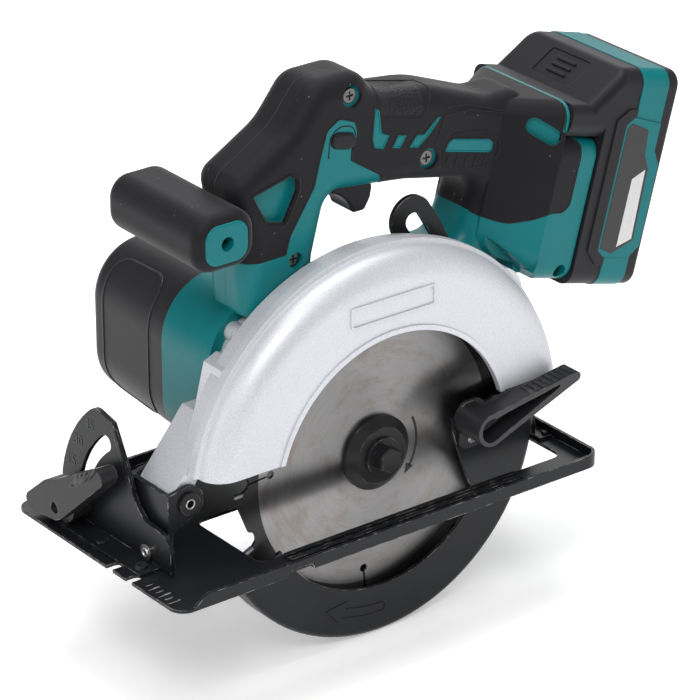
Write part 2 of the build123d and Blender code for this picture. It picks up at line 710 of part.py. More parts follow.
with BuildPart() as guard_lever:
    # folded strip: a teardrop loop that runs out to the fingertip end
    with BuildSketch(side(LEVER_FAR)):
        with Locations(LOOP):
            Circle(LOOP_R)
        with Locations(LEVER_TIP):
            Circle(2.6)
        make_hull()
        with Locations(LOOP):
            Circle(LOOP_R - LEVER_T, mode=Mode.SUBTRACT)
        Polygon((LOOP[0] + 2.5, LOOP[1] + LOOP_R - LEVER_T - 0.3), (93.0, 44.4), (93.0, 43.0),
                (LOOP[0] + 2.5, LOOP[1] - LOOP_R + LEVER_T + 0.6), align=None, mode=Mode.SUBTRACT)
    extrude(amount=LEVER_FAR - LEVER_NEAR)
    # grip ribs across the top face
    slope = degrees(atan2(LEVER_TIP[1] + 2.6 - LOOP[1] - LOOP_R, LEVER_TIP[0] - LOOP[0]))
    with BuildSketch(side(LEVER_FAR - 0.8)):
        for rib in range(8):
            along = (76 + 3.5 * rib - LOOP[0]) / (LEVER_TIP[0] - LOOP[0])
            height = LOOP[1] + LOOP_R + (LEVER_TIP[1] + 2.6 - LOOP[1] - LOOP_R) * along
            with Locations((76 + 3.5 * rib, height + 0.1)):
                Rectangle(1.3, 1.2, rotation=slope)
    extrude(amount=LEVER_FAR - LEVER_NEAR - 1.6)
    # root of the strip, back to the guard
    with BuildSketch(side(LOWER_NEAR)):
        with Locations(LOOP):
            Circle(LOOP_R)
            Circle(LOOP_R - LEVER_T, mode=Mode.SUBTRACT)
        with Locations((LOOP[0] + 14, LOOP[1])):
            Rectangle(20, 30, mode=Mode.SUBTRACT)
    extrude(amount=LOWER_NEAR - LEVER_FAR + 0.5)
    with BuildSketch(side(LOWER_NEAR)):
        with Locations((LOOP[0] + 1.5, LOOP[1] - 3.5)):
            RectangleRounded(15, 25, 5)
    extrude(amount=1.8)
    with BuildSketch(side(LOWER_NEAR)):
        with Locations((LOOP[0] + 1.5, LOOP[1]), (LOOP[0] + 1.5, LOOP[1] - 11.5)):
            Circle(1.6)
    extrude(amount=2, mode=Mode.SUBTRACT)
save(guard_lever.part, "guard_lever")

with BuildPart() as lever_rivets:
    for z in (LOOP[1], LOOP[1] - 11.5):
        with BuildSketch(side(LOWER_NEAR)):
            with Locations((LOOP[0] + 1.5, z)):
                Circle(1.6)
        extrude(amount=1.8)
        with BuildSketch(side(LOWER_NEAR - 1.8)):
            with Locations((LOOP[0] + 1.5, z)):
                Circle(2.6)
        extrude(amount=1.1, taper=30)
save(lever_rivets.part, "lever_rivets")

# ---------------------------------------------------------------- carrier: pivot bracket and depth guide
WALL_X = -119.5              # front wall of the pivot bracket
BRACKET_T = 2.5
EAR_NEAR = -0.6              # near face of the near ear
EAR_FAR = 31.0
EAR_TOP = 38.5
EAR_R = 8.5
BEVEL_PIN_R = 3.0
BEVEL_BOLT_R = 3.0
BEVEL_AXIS = (BEVEL_PIVOT_Y, BEVEL_PIVOT_Z)
BEVEL_BOLT = (BEVEL_PIVOT_Y + BEVEL_SLOT_R * cos(radians(6)),
              BEVEL_PIVOT_Z + BEVEL_SLOT_R * sin(radians(6)))
BEVEL_RANGE = 45.0
GUIDE_NEAR = 18.0
GUIDE_T = 2.5
GUIDE_HALF = 12.0            # half the width of the depth guide
GUIDE_SLOT = 4.4             # half the width of its slot
DEPTH_RANGE = 30.0
REAR_FLANGE_X = 96.9
REAR_EAR_X = 101.5

with BuildPart() as pivot_bracket:
    with BuildSketch(cross(WALL_X)):
        with Locations(BEVEL_AXIS):
            Circle(5.5)
        with Locations(BEVEL_BOLT):
            Circle(8.0)
        make_hull()
        Polygon((EAR_NEAR, 10), (EAR_NEAR, EAR_TOP), (EAR_FAR, EAR_TOP), (EAR_FAR, 26), (44, 20),
                (44, 8), (6, 8), align=None)
    extrude(amount=BRACKET_T)
    # two ears that hold the front pin
    for y_far in (EAR_NEAR + BRACKET_T, EAR_FAR):
        with BuildSketch(side(y_far)):
            with Locations(pivot):
                Circle(EAR_R)
            Polygon((WALL_X, 18.0), (WALL_X, EAR_TOP), (-109.0, EAR_R + DEPTH_PIVOT_Z - 0.1),
                    (-103.0, 25.2), align=None)
        extrude(amount=BRACKET_T)
    with BuildSketch(side(EAR_FAR)):
        with Locations(pivot):
            Circle(PIN_R)
    extrude(amount=EAR_FAR - EAR_NEAR, mode=Mode.SUBTRACT)
    with BuildSketch(cross(WALL_X)):
        with Locations(BEVEL_AXIS):
            Circle(BEVEL_PIN_R)
        with Locations(BEVEL_BOLT):
            Circle(BEVEL_BOLT_R)
    extrude(amount=BRACKET_T, mode=Mode.SUBTRACT)
save(pivot_bracket.part, "pivot_bracket")

with BuildPart() as depth_pin:
    with BuildSketch(side(EAR_FAR)):
        with Locations(pivot):
            Circle(PIN_R)
    extrude(amount=EAR_FAR - EAR_NEAR)
    for y_to, tallness in ((EAR_NEAR, 1.6), (EAR_FAR + 1.6, 1.6)):
        with BuildSketch(side(y_to)):
            with Locations(pivot):
                Circle(5.6)
        extrude(amount=tallness)
    with BuildSketch(side(EAR_NEAR + 8)):
        with Locations(pivot):
            Circle(2.0)
    extrude(amount=12, mode=Mode.SUBTRACT)
save(depth_pin.part, "depth_pivot_pin")

GUIDE_END = DEPTH_RANGE + 4.0
GUIDE_FOOT = -9.0
with BuildPart() as depth_guide:
    with BuildSketch(side(GUIDE_NEAR + GUIDE_T)):
        with Locations(pivot):
            Circle(DEPTH_SLOT_R + GUIDE_HALF)
            Circle(DEPTH_SLOT_R - GUIDE_HALF, mode=Mode.SUBTRACT)
        far = 3 * DEPTH_SLOT_R
        Polygon(pivot, about(*pivot, far, GUIDE_FOOT), about(*pivot, far, GUIDE_END), align=None,
                mode=Mode.INTERSECT)
        with Locations(about(*pivot, DEPTH_SLOT_R, GUIDE_END)):
            Circle(GUIDE_HALF)
        # run out to the rear pivot
        Polygon((60, 3.5), (REAR_FLANGE_X + GUIDE_T, 3.5), (REAR_FLANGE_X + GUIDE_T, 15),
                (84, 18), (70, 30), align=None)
        add(arc_slot(pivot, DEPTH_SLOT_R, GUIDE_SLOT, -1.5, GUIDE_END - 0.5), mode=Mode.SUBTRACT)
    extrude(amount=GUIDE_T)
    # rear flange round the tilt axis
    with BuildSketch(cross(REAR_FLANGE_X)):
        with Locations(BEVEL_AXIS):
            Circle(5.5)
        Polygon((BEVEL_PIVOT_Y, 3.5), (GUIDE_NEAR + GUIDE_T, 3.5), (GUIDE_NEAR + GUIDE_T, 15),
                (BEVEL_PIVOT_Y, 13.0), align=None)
    extrude(amount=GUIDE_T)
    with BuildSketch(cross(REAR_FLANGE_X)):
        with Locations(BEVEL_AXIS):
            Circle(BEVEL_PIN_R)
    extrude(amount=GUIDE_T, mode=Mode.SUBTRACT)
save(depth_guide.part, "depth_guide")


QUADRANT_T = 2.5
with BuildPart() as bevel_pins:
    # front pin through the quadrant, rear pin through the ear, each with a head outside
    with BuildSketch(cross(BEVEL_PLATE_X)):
        with Locations(BEVEL_AXIS):
            Circle(BEVEL_PIN_R)
    extrude(amount=WALL_X + BRACKET_T - BEVEL_PLATE_X)
    with BuildSketch(cross(BEVEL_PLATE_X - 1.6)):
        with Locations(BEVEL_AXIS):
            Circle(4.0)
    extrude(amount=1.6)
    with BuildSketch(cross(REAR_FLANGE_X)):
        with Locations(BEVEL_AXIS):
            Circle(BEVEL_PIN_R)
    extrude(amount=REAR_EAR_X + GUIDE_T - REAR_FLANGE_X)
    for x_from, thickness in ((REAR_EAR_X + GUIDE_T, 1.6),
                              (REAR_FLANGE_X + GUIDE_T, REAR_EAR_X - REAR_FLANGE_X - GUIDE_T)):
        with BuildSketch(cross(x_from)):
            with Locations(BEVEL_AXIS):
                Circle(4.5)
        extrude(amount=thickness)
save(bevel_pins.part, "bevel_pins")

# ---------------------------------------------------------------- base
OPEN_FRONT = -83.0
OPEN_REAR = 100.0
OPEN_NEAR = -22.0
OPEN_FAR = 30.0
with BuildPart() as base:
    with BuildSketch() as outline:
        with Locations(((SOLE_FRONT + SOLE_REAR) / 2, (SOLE_NEAR + SOLE_FAR) / 2)):
            RectangleRounded(SOLE_REAR - SOLE_FRONT, SOLE_FAR - SOLE_NEAR, 8)
    extrude(amount=RIM_H)
    with BuildSketch(Plane.XY.offset(SHEET)):
        with Locations(((SOLE_FRONT + SOLE_REAR) / 2, (SOLE_NEAR + SOLE_FAR) / 2)):
            RectangleRounded(SOLE_REAR - SOLE_FRONT - 2 * SHEET, SOLE_FAR - SOLE_NEAR - 2 * SHEET,
                             8 - SHEET)
    extrude(amount=RIM_H, mode=Mode.SUBTRACT)
    # the rim dies out towards the front edge
    with BuildSketch(side(SOLE_FAR + 1)):
        Polygon((SOLE_FRONT - 1, SHEET), (SOLE_FRONT + 9, SHEET), (SOLE_FRONT + 17, RIM_H + 1),
                (SOLE_FRONT - 1, RIM_H + 1), align=None)
    extrude(amount=SOLE_FAR - SOLE_NEAR + 2, mode=Mode.SUBTRACT)
    # opening for the blade and the guard
    with BuildSketch():
        with Locations(((OPEN_FRONT + OPEN_REAR) / 2, (OPEN_NEAR + OPEN_FAR) / 2)):
            RectangleRounded(OPEN_REAR - OPEN_FRONT, OPEN_FAR - OPEN_NEAR, 5)
    extrude(amount=RIM_H, mode=Mode.SUBTRACT)
    # pressed ridges along the blade side
    with BuildSketch(Plane.XY.offset(SHEET)):
        with Locations((-1, OPEN_NEAR - 2.2), (-1, OPEN_NEAR - 7.2)):
            SlotOverall(140, 2.6)
    extrude(amount=1.5)
    # sight notches and cutting-line marks on the front edge
    with BuildSketch():
        with Locations((SOLE_FRONT, 1.5), (SOLE_FRONT, 17)):
            SlotOverall(14, 5)
    extrude(amount=SHEET, mode=Mode.SUBTRACT)
    with BuildSketch(Plane.XY.offset(SHEET)):
        for mark in range(6):
            with Locations((SOLE_FRONT + 5, -8 - 4 * mark)):
                Rectangle(7 if mark % 2 else 4.5, 0.8)
    extrude(amount=-0.4, mode=Mode.SUBTRACT)
    # relief notch under the near rim
    with BuildSketch(side(SOLE_NEAR + 3)):
        with Locations((-72, 0)):
            RectangleRounded(15, 6, 2.5)
    extrude(amount=4, mode=Mode.SUBTRACT)
save(base.part, "base_plate")

FOOT_FRONT = -136.0
ARC_TOP = 55.0
with BuildPart() as quadrant:
    with BuildSketch(cross(BEVEL_PLATE_X)):
        rim = 71.6
        with BuildLine():
            start = about(*BEVEL_AXIS, rim, 11)
            top = about(*BEVEL_AXIS, rim, ARC_TOP)
            ThreePointArc(start, about(*BEVEL_AXIS, rim, 33), top)
            Line(top, (36.5, 63.0))
            Line((36.5, 63.0), (23.3, 38.1))
            ThreePointArc((23.3, 38.1), (18.8, 28.2), (11.8, 22.4))
            Line((11.8, 22.4), (0, 21.4))
            ThreePointArc((0, 21.4), (-6.0, 18.4), (-8.4, 12.0))
            Polyline((-8.4, 12.0), (-8.4, SHEET), (start[0], SHEET), start)
        make_face()
        fillet(vertices().sort_by_distance((*top, 0))[0], 9)
        add(arc_slot(BEVEL_AXIS, BEVEL_SLOT_R, 4.0, 5.0, BEVEL_RANGE + 8), mode=Mode.SUBTRACT)
        with Locations(BEVEL_AXIS):
            Circle(BEVEL_PIN_R + RUN, mode=Mode.SUBTRACT)
    extrude(amount=QUADRANT_T)
    # foot along the base
    with BuildSketch(Plane.XY.offset(SHEET)):
        with Locations(((FOOT_FRONT + BEVEL_PLATE_X) / 2 + 1, 37.5)):
            RectangleRounded(BEVEL_PLATE_X - FOOT_FRONT + 2, 75, 0.9)
    extrude(amount=SHEET)
    # raised edge along the steep side
    with BuildSketch(cross(BEVEL_PLATE_X)):
        Polygon((35.3, 60.5), (22.0, 36.0), (19.6, 36.5), (33.0, 61.5), align=None)
    extrude(amount=-1.6)
save(quadrant.part, "bevel_quadrant")

with BuildPart() as rear_ear:
    with BuildSketch(cross(REAR_EAR_X)):
        with Locations(BEVEL_AXIS):
            Circle(7.0)
        with Locations((BEVEL_PIVOT_Y, (BEVEL_PIVOT_Z + SHEET) / 2)):
            Rectangle(14.0, BEVEL_PIVOT_Z - SHEET)
        with Locations(BEVEL_AXIS):
            Circle(BEVEL_PIN_R + RUN, mode=Mode.SUBTRACT)
        with Locations((0, 0)):
            Rectangle(60, 2 * SHEET, mode=Mode.SUBTRACT)
    extrude(amount=GUIDE_T)
    with BuildSketch(Plane.XY.offset(SHEET)):
        with Locations((REAR_EAR_X + 3.6, BEVEL_PIVOT_Y)):
            Rectangle(7.2, 28)
    extrude(amount=SHEET)
    # clear of the pin's head
    with BuildSketch(cross(REAR_EAR_X + GUIDE_T)):
        with Locations(BEVEL_AXIS):
            Circle(5.0)
    extrude(amount=8, mode=Mode.SUBTRACT)
save(rear_ear.part, "rear_bevel_ear")

FRONT_RIVETS = [(-130.5, 6), (-130.5, 38), (-130.5, 70)]
REAR_RIVETS = [(REAR_EAR_X + 5.2, BEVEL_PIVOT_Y - 11), (REAR_EAR_X + 5.2, BEVEL_PIVOT_Y + 11)]
with BuildPart() as rivets:
    with BuildSketch(Plane.XY.offset(2 * SHEET)):
        with Locations(*FRONT_RIVETS):
            Circle(3.2)
        with Locations(*REAR_RIVETS):
            Circle(2.0)
    extrude(amount=1.2, taper=25)
save(rivets.part, "base_rivets")

# ---------------------------------------------------------------- clamp levers
LEVER_X = -140.0
with BuildPart() as bevel_bolt:
    with BuildSketch(cross(BEVEL_PLATE_X - 14)):
        with Locations(BEVEL_BOLT):
            Circle(BEVEL_BOLT_R)
    extrude(amount=WALL_X + BRACKET_T + 3 - BEVEL_PLATE_X + 14)
    with BuildSketch(cross(WALL_X + BRACKET_T)):
        with Locations(BEVEL_BOLT):
            RegularPolygon(5.5, 6)
            Circle(BEVEL_BOLT_R, mode=Mode.SUBTRACT)
    extrude(amount=4)
save(bevel_bolt.part, "bevel_bolt")

with BuildPart() as bevel_lever:
    # hub against the quadrant
    with BuildSketch(cross(LEVER_X + 5)):
        with Locations(BEVEL_BOLT):
            Circle(8.5)
    extrude(amount=BEVEL_PLATE_X - GAP - LEVER_X - 5)
    # bar with a thumb rest at its end
    with BuildSketch(cross(LEVER_X)):
        with Locations((66.0, 16.5)):
            Circle(10.0)
        with Locations((83.5, 9.0)):
            Circle(4.5)
        make_hull()
    extrude(amount=9)
    with BuildSketch(cross(LEVER_X)):
        with Locations((64.0, 17.0)):
            Circle(9.5)
        with Locations((27.5, 43.0)):
            Circle(4.5)
        make_hull()
    extrude(amount=9)
    with BuildSketch(cross(LEVER_X)):
        for rib in range(5):
            with Locations((30 + 4 * rib, 44.5 - 2.6 * rib)):
                Rectangle(1.2, 9, rotation=40, mode=Mode.ADD)
    extrude(amount=-0.7)
    with BuildSketch(cross(LEVER_X)):
        with Locations(BEVEL_BOLT):
            Circle(BEVEL_BOLT_R + RUN)
    extrude(amount=20, mode=Mode.SUBTRACT)
save(bevel_lever.part, "bevel_lever")

DEPTH_LEVER_NEAR = GUIDE_NEAR + GUIDE_T + GAP
with BuildPart() as depth_bolt:
    with BuildSketch(side(DEPTH_LEVER_NEAR + 13)):
        with Locations(DEPTH_BOLT):
            Circle(3.0)
    extrude(amount=DEPTH_LEVER_NEAR + 13 - 9.6)
save(depth_bolt.part, "depth_bolt")

DEPTH_LEVER_LINE = 16.0
DEPTH_TIP = about(*DEPTH_BOLT, 44, DEPTH_LEVER_LINE)
with BuildPart() as depth_lever:
    with BuildSketch(side(DEPTH_LEVER_NEAR + 10)):
        with Locations(DEPTH_BOLT):
            Circle(8.5)
    extrude(amount=10)
    with BuildSketch(side(DEPTH_LEVER_NEAR + 10)):
        with Locations(DEPTH_BOLT):
            Circle(7.0)
        with Locations(DEPTH_TIP):
            Circle(5.0)
        make_hull()
    extrude(amount=5)
    with BuildSketch(side(DEPTH_LEVER_NEAR + 14)):
        with Locations(DEPTH_TIP):
            Circle(5.0)
        with Locations(about(*DEPTH_BOLT, 30, DEPTH_LEVER_LINE)):
            Circle(5.0)
        make_hull()
    extrude(amount=5)
    with BuildSketch(side(DEPTH_LEVER_NEAR + 15)):
        with Locations(DEPTH_BOLT):
            Circle(3.0 + RUN)
    extrude(amount=16, mode=Mode.SUBTRACT)
save(depth_lever.part, "depth_lever")

# ---------------------------------------------------------------- housing
HANDLE_HALF = 17.4           # half the width of the handle
HANDLE_SOFT = 10.0           # rounding of the handle's edges
FOOT_HALF = 36.0
FOOT_FACE = -43.8            # joint with the battery, measured from the battery's rear face
FOOT_STEP = -66.4            # upper part of the joint
GRIP_AXIS = (-80.0, 153.0)   # front grip, along Y
GRIP_W = 34.0
GRIP_H = 28.0
GRIP_NEAR = 5.0
GRIP_FAR = 78.0


def pack_point(u, w):
    """Side-view point at u along the battery and w through its thickness."""
    lean = radians(PACK_LEAN)
    return (PACK_X + u * sin(lean) + w * cos(lean), PACK_Z + u * cos(lean) - w * sin(lean))


def pack(w):
    """Plane square to the battery's thickness: local x = Y from the middle, local y = the
    direction in which the battery slides off.  Positive w goes towards its rear face."""
    x, z = pack_point(0, w)
    lean = radians(PACK_LEAN)
    return Plane((x, HANDLE_Y, z), x_dir=(0, 1, 0), z_dir=(cos(lean), 0, -sin(lean)))


def handle_body(inset):
    """Outside of the handle, the strut and the column, drawn in by an inset."""
    half = HANDLE_HALF - inset
    middle = side(HANDLE_Y + half)
    with BuildPart() as body:
        with BuildSketch(middle):
            with BuildLine():
                FilletPolyline((-62, 96), (-64.5, 140), (-67, 158), (-70, 174.5), (-38, 193),
                               (-22, 213), (6, 213), (16, 199), (48, 195), (84, 181), (103, 181),
                               (110, 167), (112, 104), (84, 92), (70, 66), (-16, 58),
                               radius=(4, 12, 20, 9, 30, 14, 14, 20, 60, 20, 11, 12, 12, 12, 12, 4),
                               close=True)
            make_face()
            if inset:
                offset(amount=-inset)
        extrude(amount=2 * half)
        with BuildSketch(middle):
            with BuildLine():
                FilletPolyline((-14, 157), (-23, 124), (-19, 112), (64, 112), (77, 141), (32, 151),
                               radius=(9, 20, 6, 10, 10, 30), close=True)
            make_face()
            if inset:
                offset(amount=inset)
        extrude(amount=2 * half, mode=Mode.SUBTRACT)
        soft = body.edges().filter_by(Plane.XZ)
        fillet(soft, HANDLE_SOFT - inset)
        # flare out to the battery joint
        with BuildSketch(pack(FOOT_STEP)):
            with Locations((0, -4.6)):
                RectangleRounded(2 * (FOOT_HALF - inset), 84.8 - 2 * inset, 9 - inset)
        with BuildSketch(pack(-92)):
            with Locations((0, -4)):
                RectangleRounded(2 * half, 74 - 2 * inset, 9 - inset)
        loft()
        with BuildSketch(pack(FOOT_FACE)):
            with Locations((0, -15.75)):
                RectangleRounded(2 * (FOOT_HALF - inset), 72.5 - 2 * inset, 9 - inset)
        extrude(amount=FOOT_STEP - FOOT_FACE)
    return body.part


full = handle_body(0)
core = handle_body(SKIN)

# areas of the side view: rubber, and the coloured windows left open in it
RUBBER = [(-100, 134), (-41, 134), (-38.5, 143), (-24.5, 164), (-20.5, 178.5), (-17, 190),
          (-10, 194), (-1, 190.5), (0.5, 184), (-3, 178), (-3.6, 172), (14, 160.5), (20, 146),
          (60, 136), (65, 130.7), (73, 124.5), (81, 121.1), (85.4, 119.9),
          (94.6, 121.3), (102.7, 124.2), (110.5, 122.6), (114.7, 125.4), (122.5, 154.4),
          (110.5, 163.8), (119.8, 198.6), (100, 230), (-100, 230)]
WINDOWS = [
    [(10.5, 194.6), (13.5, 193.1), (14.8, 181.3), (19.5, 179.0), (15.6, 172.6), (10.0, 174.6),
     (8.9, 179.3)],
    [(24.2, 178.0), (29.9, 176.6), (25.5, 170.6), (20.4, 172.1)],
    [(48.0, 181.4), (50.4, 180.6), (43.5, 173.5), (36.2, 168.2), (30.5, 169.9), (35.5, 175.4),
     (39.7, 174.6)],
    [(57.3, 168.0), (79.3, 162.5), (82.1, 160.1), (81.3, 155.8), (78.8, 155.2), (51.3, 162.4),
     (54.8, 167.0)],
]
RECESS = [(-60.5, 167.5), (-38.5, 172.6), (-34.5, 170.5), (-34.5, 164.5), (-42.0, 150.5),
          (-51.0, 153.0)]
OVAL_AT = Vector(103.0, 0.5, 163.9)          # recess in the side of the flare
OVAL_RUN = Vector(8.0, -8.2, -6.8)           # its long direction
OVAL_SIZE = (19.0, 8.6)
FLARE = (FOOT_HALF - HANDLE_HALF) / 25.6     # how fast the side of the flare leans out
LOCK_AT = (-8.0, 183.0)
LOCK_LEAN = -14.0
SCREWS = [(-2.5, 203.2), (43.0, 161.0), (-35.5, 130.0)]
WELL_R = 3.9                                 # screw wells
WELL_DEPTH = 4.6
FOOT_HOLE = pack_point(-46.0, -50.0)
NEAR_SKIN = HANDLE_Y - HANDLE_HALF
FAR_SKIN = HANDLE_Y + HANDLE_HALF
SWITCH = (24.0, 165.0, 32.0, 21.0)           # corner, length and height of the switch
SWITCH_W = 22.0
TRIGGER_W = 18.0
TRIGGER_PIN = (-8.0, 165.0)


def grip_bar(extra, y_from, y_to):
    """Front grip bar, grown by a margin, added to or taken from the part being built."""
    with BuildPart() as bar:
        with BuildSketch(side(y_to)):
            with Locations(GRIP_AXIS):
                RectangleRounded(GRIP_W + 2 * extra, GRIP_H + 2 * extra, 11 + extra)
        extrude(amount=y_to - y_from)
        if not extra:
            fillet(bar.edges().filter_by(Plane.XZ), 6)
    return bar.part


def recesses(screw_r):
    """Cuts shared by the rubber and the shell under it: recesses, screw wells, lock-off hole and
    the room of the trigger."""
    lean = radians(PACK_LEAN)
    out_of_flare = Vector(-FLARE * cos(lean), -1, FLARE * sin(lean)).normalized()
    along = OVAL_RUN - out_of_flare * OVAL_RUN.dot(out_of_flare)
    with BuildPart() as cuts:
        with BuildSketch(side(NEAR_SKIN + WELL_DEPTH)):
            with Locations(*SCREWS):
                Circle(screw_r)
        extrude(amount=THROUGH)
        with BuildSketch(side(THROUGH)):
            with Locations(*SCREWS):
                Circle(screw_r)
        extrude(amount=THROUGH - FAR_SKIN + 1.2)
        with BuildSketch(side(HANDLE_Y + TRIGGER_W / 2 + GAP)):
            Polygon((-13, 172), (22, 172), (24, 150), (18, 138), (-13, 138), align=None)
        extrude(amount=TRIGGER_W + 2 * GAP)
        with BuildSketch(side(NEAR_SKIN + 4.5)):
            Polygon(*RECESS, align=None)
        extrude(amount=20)
        with BuildSketch(Plane(OVAL_AT - 3.4 * out_of_flare, x_dir=along, z_dir=out_of_flare)):
            SlotOverall(*OVAL_SIZE)
        extrude(amount=20)
        with BuildSketch(side(THROUGH / 2)):
            with Locations(LOCK_AT):
                SlotOverall(14 + 2 * GAP, 7.5 + 2 * GAP, rotation=LOCK_LEAN)
        extrude(amount=THROUGH)
    return cuts.part


bar_room = grip_bar(0.01, GRIP_NEAR - 5, GRIP_FAR + 5)
cuts = recesses(WELL_R)
rubber_cuts = recesses(WELL_R + 1.5)         # the coloured shell shows round each screw

with BuildPart() as overmold:
    add(full)
    add(core, mode=Mode.SUBTRACT)
    with BuildSketch(side(THROUGH)):
        Polygon(*RUBBER, align=None)
    extrude(amount=2 * THROUGH, mode=Mode.INTERSECT)
    with BuildSketch(side(HANDLE_Y)):
        for outline in WINDOWS:
            Polygon(*outline, align=None)
    extrude(amount=THROUGH, mode=Mode.SUBTRACT)
    add(bar_room, mode=Mode.SUBTRACT)

rubber = overmold.part

FAN_ROOM_R = FAN_R + 2
with BuildPart() as shell:
    add(full)
    # motor housing
    with BuildSketch(side(RING_FAR)):
        with Locations(MOTOR_XZ):
            RectangleRounded(2 * RING_HALF, 2 * RING_HALF, RING_CORNER)
    extrude(amount=RING_FAR - RING_NEAR)
    # room round the guard, in front of the motor housing and for the depth guide
    with BuildSketch(side(GUARD_BACK - 2)):
        with Locations(ARBOR_XZ):
            Circle(BEAD_R + 8)
    extrude(amount=THROUGH, mode=Mode.SUBTRACT)
    with BuildSketch(side(RING_NEAR)):
        Polygon((-100, 50), (66, 50), (66, 107), (-100, 107), align=None)
    extrude(amount=THROUGH, mode=Mode.SUBTRACT)
    with BuildSketch(side(GUIDE_NEAR + GUIDE_T + 1)):
        with Locations(pivot):
            Circle(DEPTH_SLOT_R + GUIDE_HALF + 1)
            Circle(DEPTH_SLOT_R - GUIDE_HALF - 1, mode=Mode.SUBTRACT)
        Polygon(pivot, about(*pivot, 400, -30), about(*pivot, 400, 38), align=None,
                mode=Mode.INTERSECT)
        with Locations(about(*pivot, DEPTH_SLOT_R, GUIDE_END)):
            Circle(GUIDE_HALF + 1)
    extrude(amount=THROUGH, mode=Mode.SUBTRACT)
    add(rubber, mode=Mode.SUBTRACT)
    add(bar_room, mode=Mode.SUBTRACT)
    add(cuts, mode=Mode.SUBTRACT)
    # gear chamber
    for y_to, case_r, lay_r in ((PLATE_NEAR + 3.3, CASE_R + GAP, LAY_CASE_R + GAP),
                                (PLATE_FAR + 0.6, 13.5 + GAP, 7.5 + GAP)):
        with BuildSketch(side(y_to)):
            with Locations(ARBOR_XZ):
                Circle(case_r)
            with Locations(LAY_XZ):
                Circle(lay_r)
            make_hull()
        extrude(amount=THROUGH, mode=Mode.SUBTRACT)
    with BuildSketch(side(STAGE1_FAR + 0.8)):
        with Locations(LAY_XZ):
            Circle(LAY_GEAR_TEETH / 2 + 1.6)
        with Locations(MOTOR_XZ):
            Circle(MOTOR_PINION_TEETH / 2 + 2)
    extrude(amount=STAGE1_FAR + 0.8 - PLATE_FAR - 0.4, mode=Mode.SUBTRACT)
    # motor bearing, shaft and fan
    for y_from, y_to, r in ((STAGE1_FAR, 56, 6.0), (MOTOR_FRONT_Y[0], MOTOR_FRONT_Y[1], 11.0),
                            (54.6, RING_FAR, FAN_ROOM_R)):
        with BuildSketch(side(y_to)):
            with Locations(MOTOR_XZ):
                Circle(r)
        extrude(amount=y_to - y_from, mode=Mode.SUBTRACT)
    with BuildSketch(side(STAGE1_FAR + 2)):
        with Locations(LAY_XZ):
            Circle(LAY_SHAFT_R + RUN)
    extrude(amount=4, mode=Mode.SUBTRACT)
    # switch and trunnions of the trigger
    with BuildSketch(side(HANDLE_Y + SWITCH_W / 2)):
        with Locations(SWITCH[:2]):
            Rectangle(SWITCH[2], SWITCH[3], align=Align.MIN)
    extrude(amount=SWITCH_W, mode=Mode.SUBTRACT)
    with BuildSketch(side(HANDLE_Y + TRIGGER_W / 2 + 3)):
        with Locations(TRIGGER_PIN):
            Circle(2.0 + RUN)
    extrude(amount=TRIGGER_W + 6, mode=Mode.SUBTRACT)
    # channel for the tongue of the battery, open where the battery slides off
    for w_from, w_to, half in ((-54.4, FOOT_FACE, 24.5), (-54.4, -47.2, 28.5)):
        with BuildSketch(pack(w_from)):
            with Locations((0, -14)):
                Rectangle(2 * half, 73)
        extrude(amount=w_to - w_from + 0.01, mode=Mode.SUBTRACT)
    with BuildSketch(pack(-60.0)):
        with Locations((0, -30)):
            Rectangle(40, 24)
    extrude(amount=6, mode=Mode.SUBTRACT)
    # screws of the shell
    with BuildSketch(side(HANDLE_Y + 8)):
        with Locations(*SCREWS):
            Circle(1.7)
    extrude(amount=THROUGH, mode=Mode.SUBTRACT)
    with BuildSketch(side(HANDLE_Y - FOOT_HALF + 6.8)):
        with Locations(FOOT_HOLE):
            Circle(3.4)
    extrude(amount=THROUGH, mode=Mode.SUBTRACT)


def half_of(part, name, towards_blade):
    """One side of a part that is split in the middle plane of the handle, loose crumbs left out."""
    with BuildPart() as piece:
        add(part)
        split(bisect_by=Plane.XZ.offset(-HANDLE_Y), keep=Keep.TOP if towards_blade else Keep.BOTTOM)
        crumbs = [solid for solid in piece.solids() if solid.volume < 40]
        for crumb in crumbs:
            add(crumb, mode=Mode.SUBTRACT)
    return save(piece.part, name)


half_of(shell.part, "clamshell_left", True)
half_of(shell.part, "clamshell_right", False)
with BuildPart() as rubber_cut:
    add(rubber)
    add(rubber_cuts, mode=Mode.SUBTRACT)
half_of(rubber_cut.part, "grip_overmold_left", True)
half_of(rubber_cut.part, "grip_overmold_right", False)

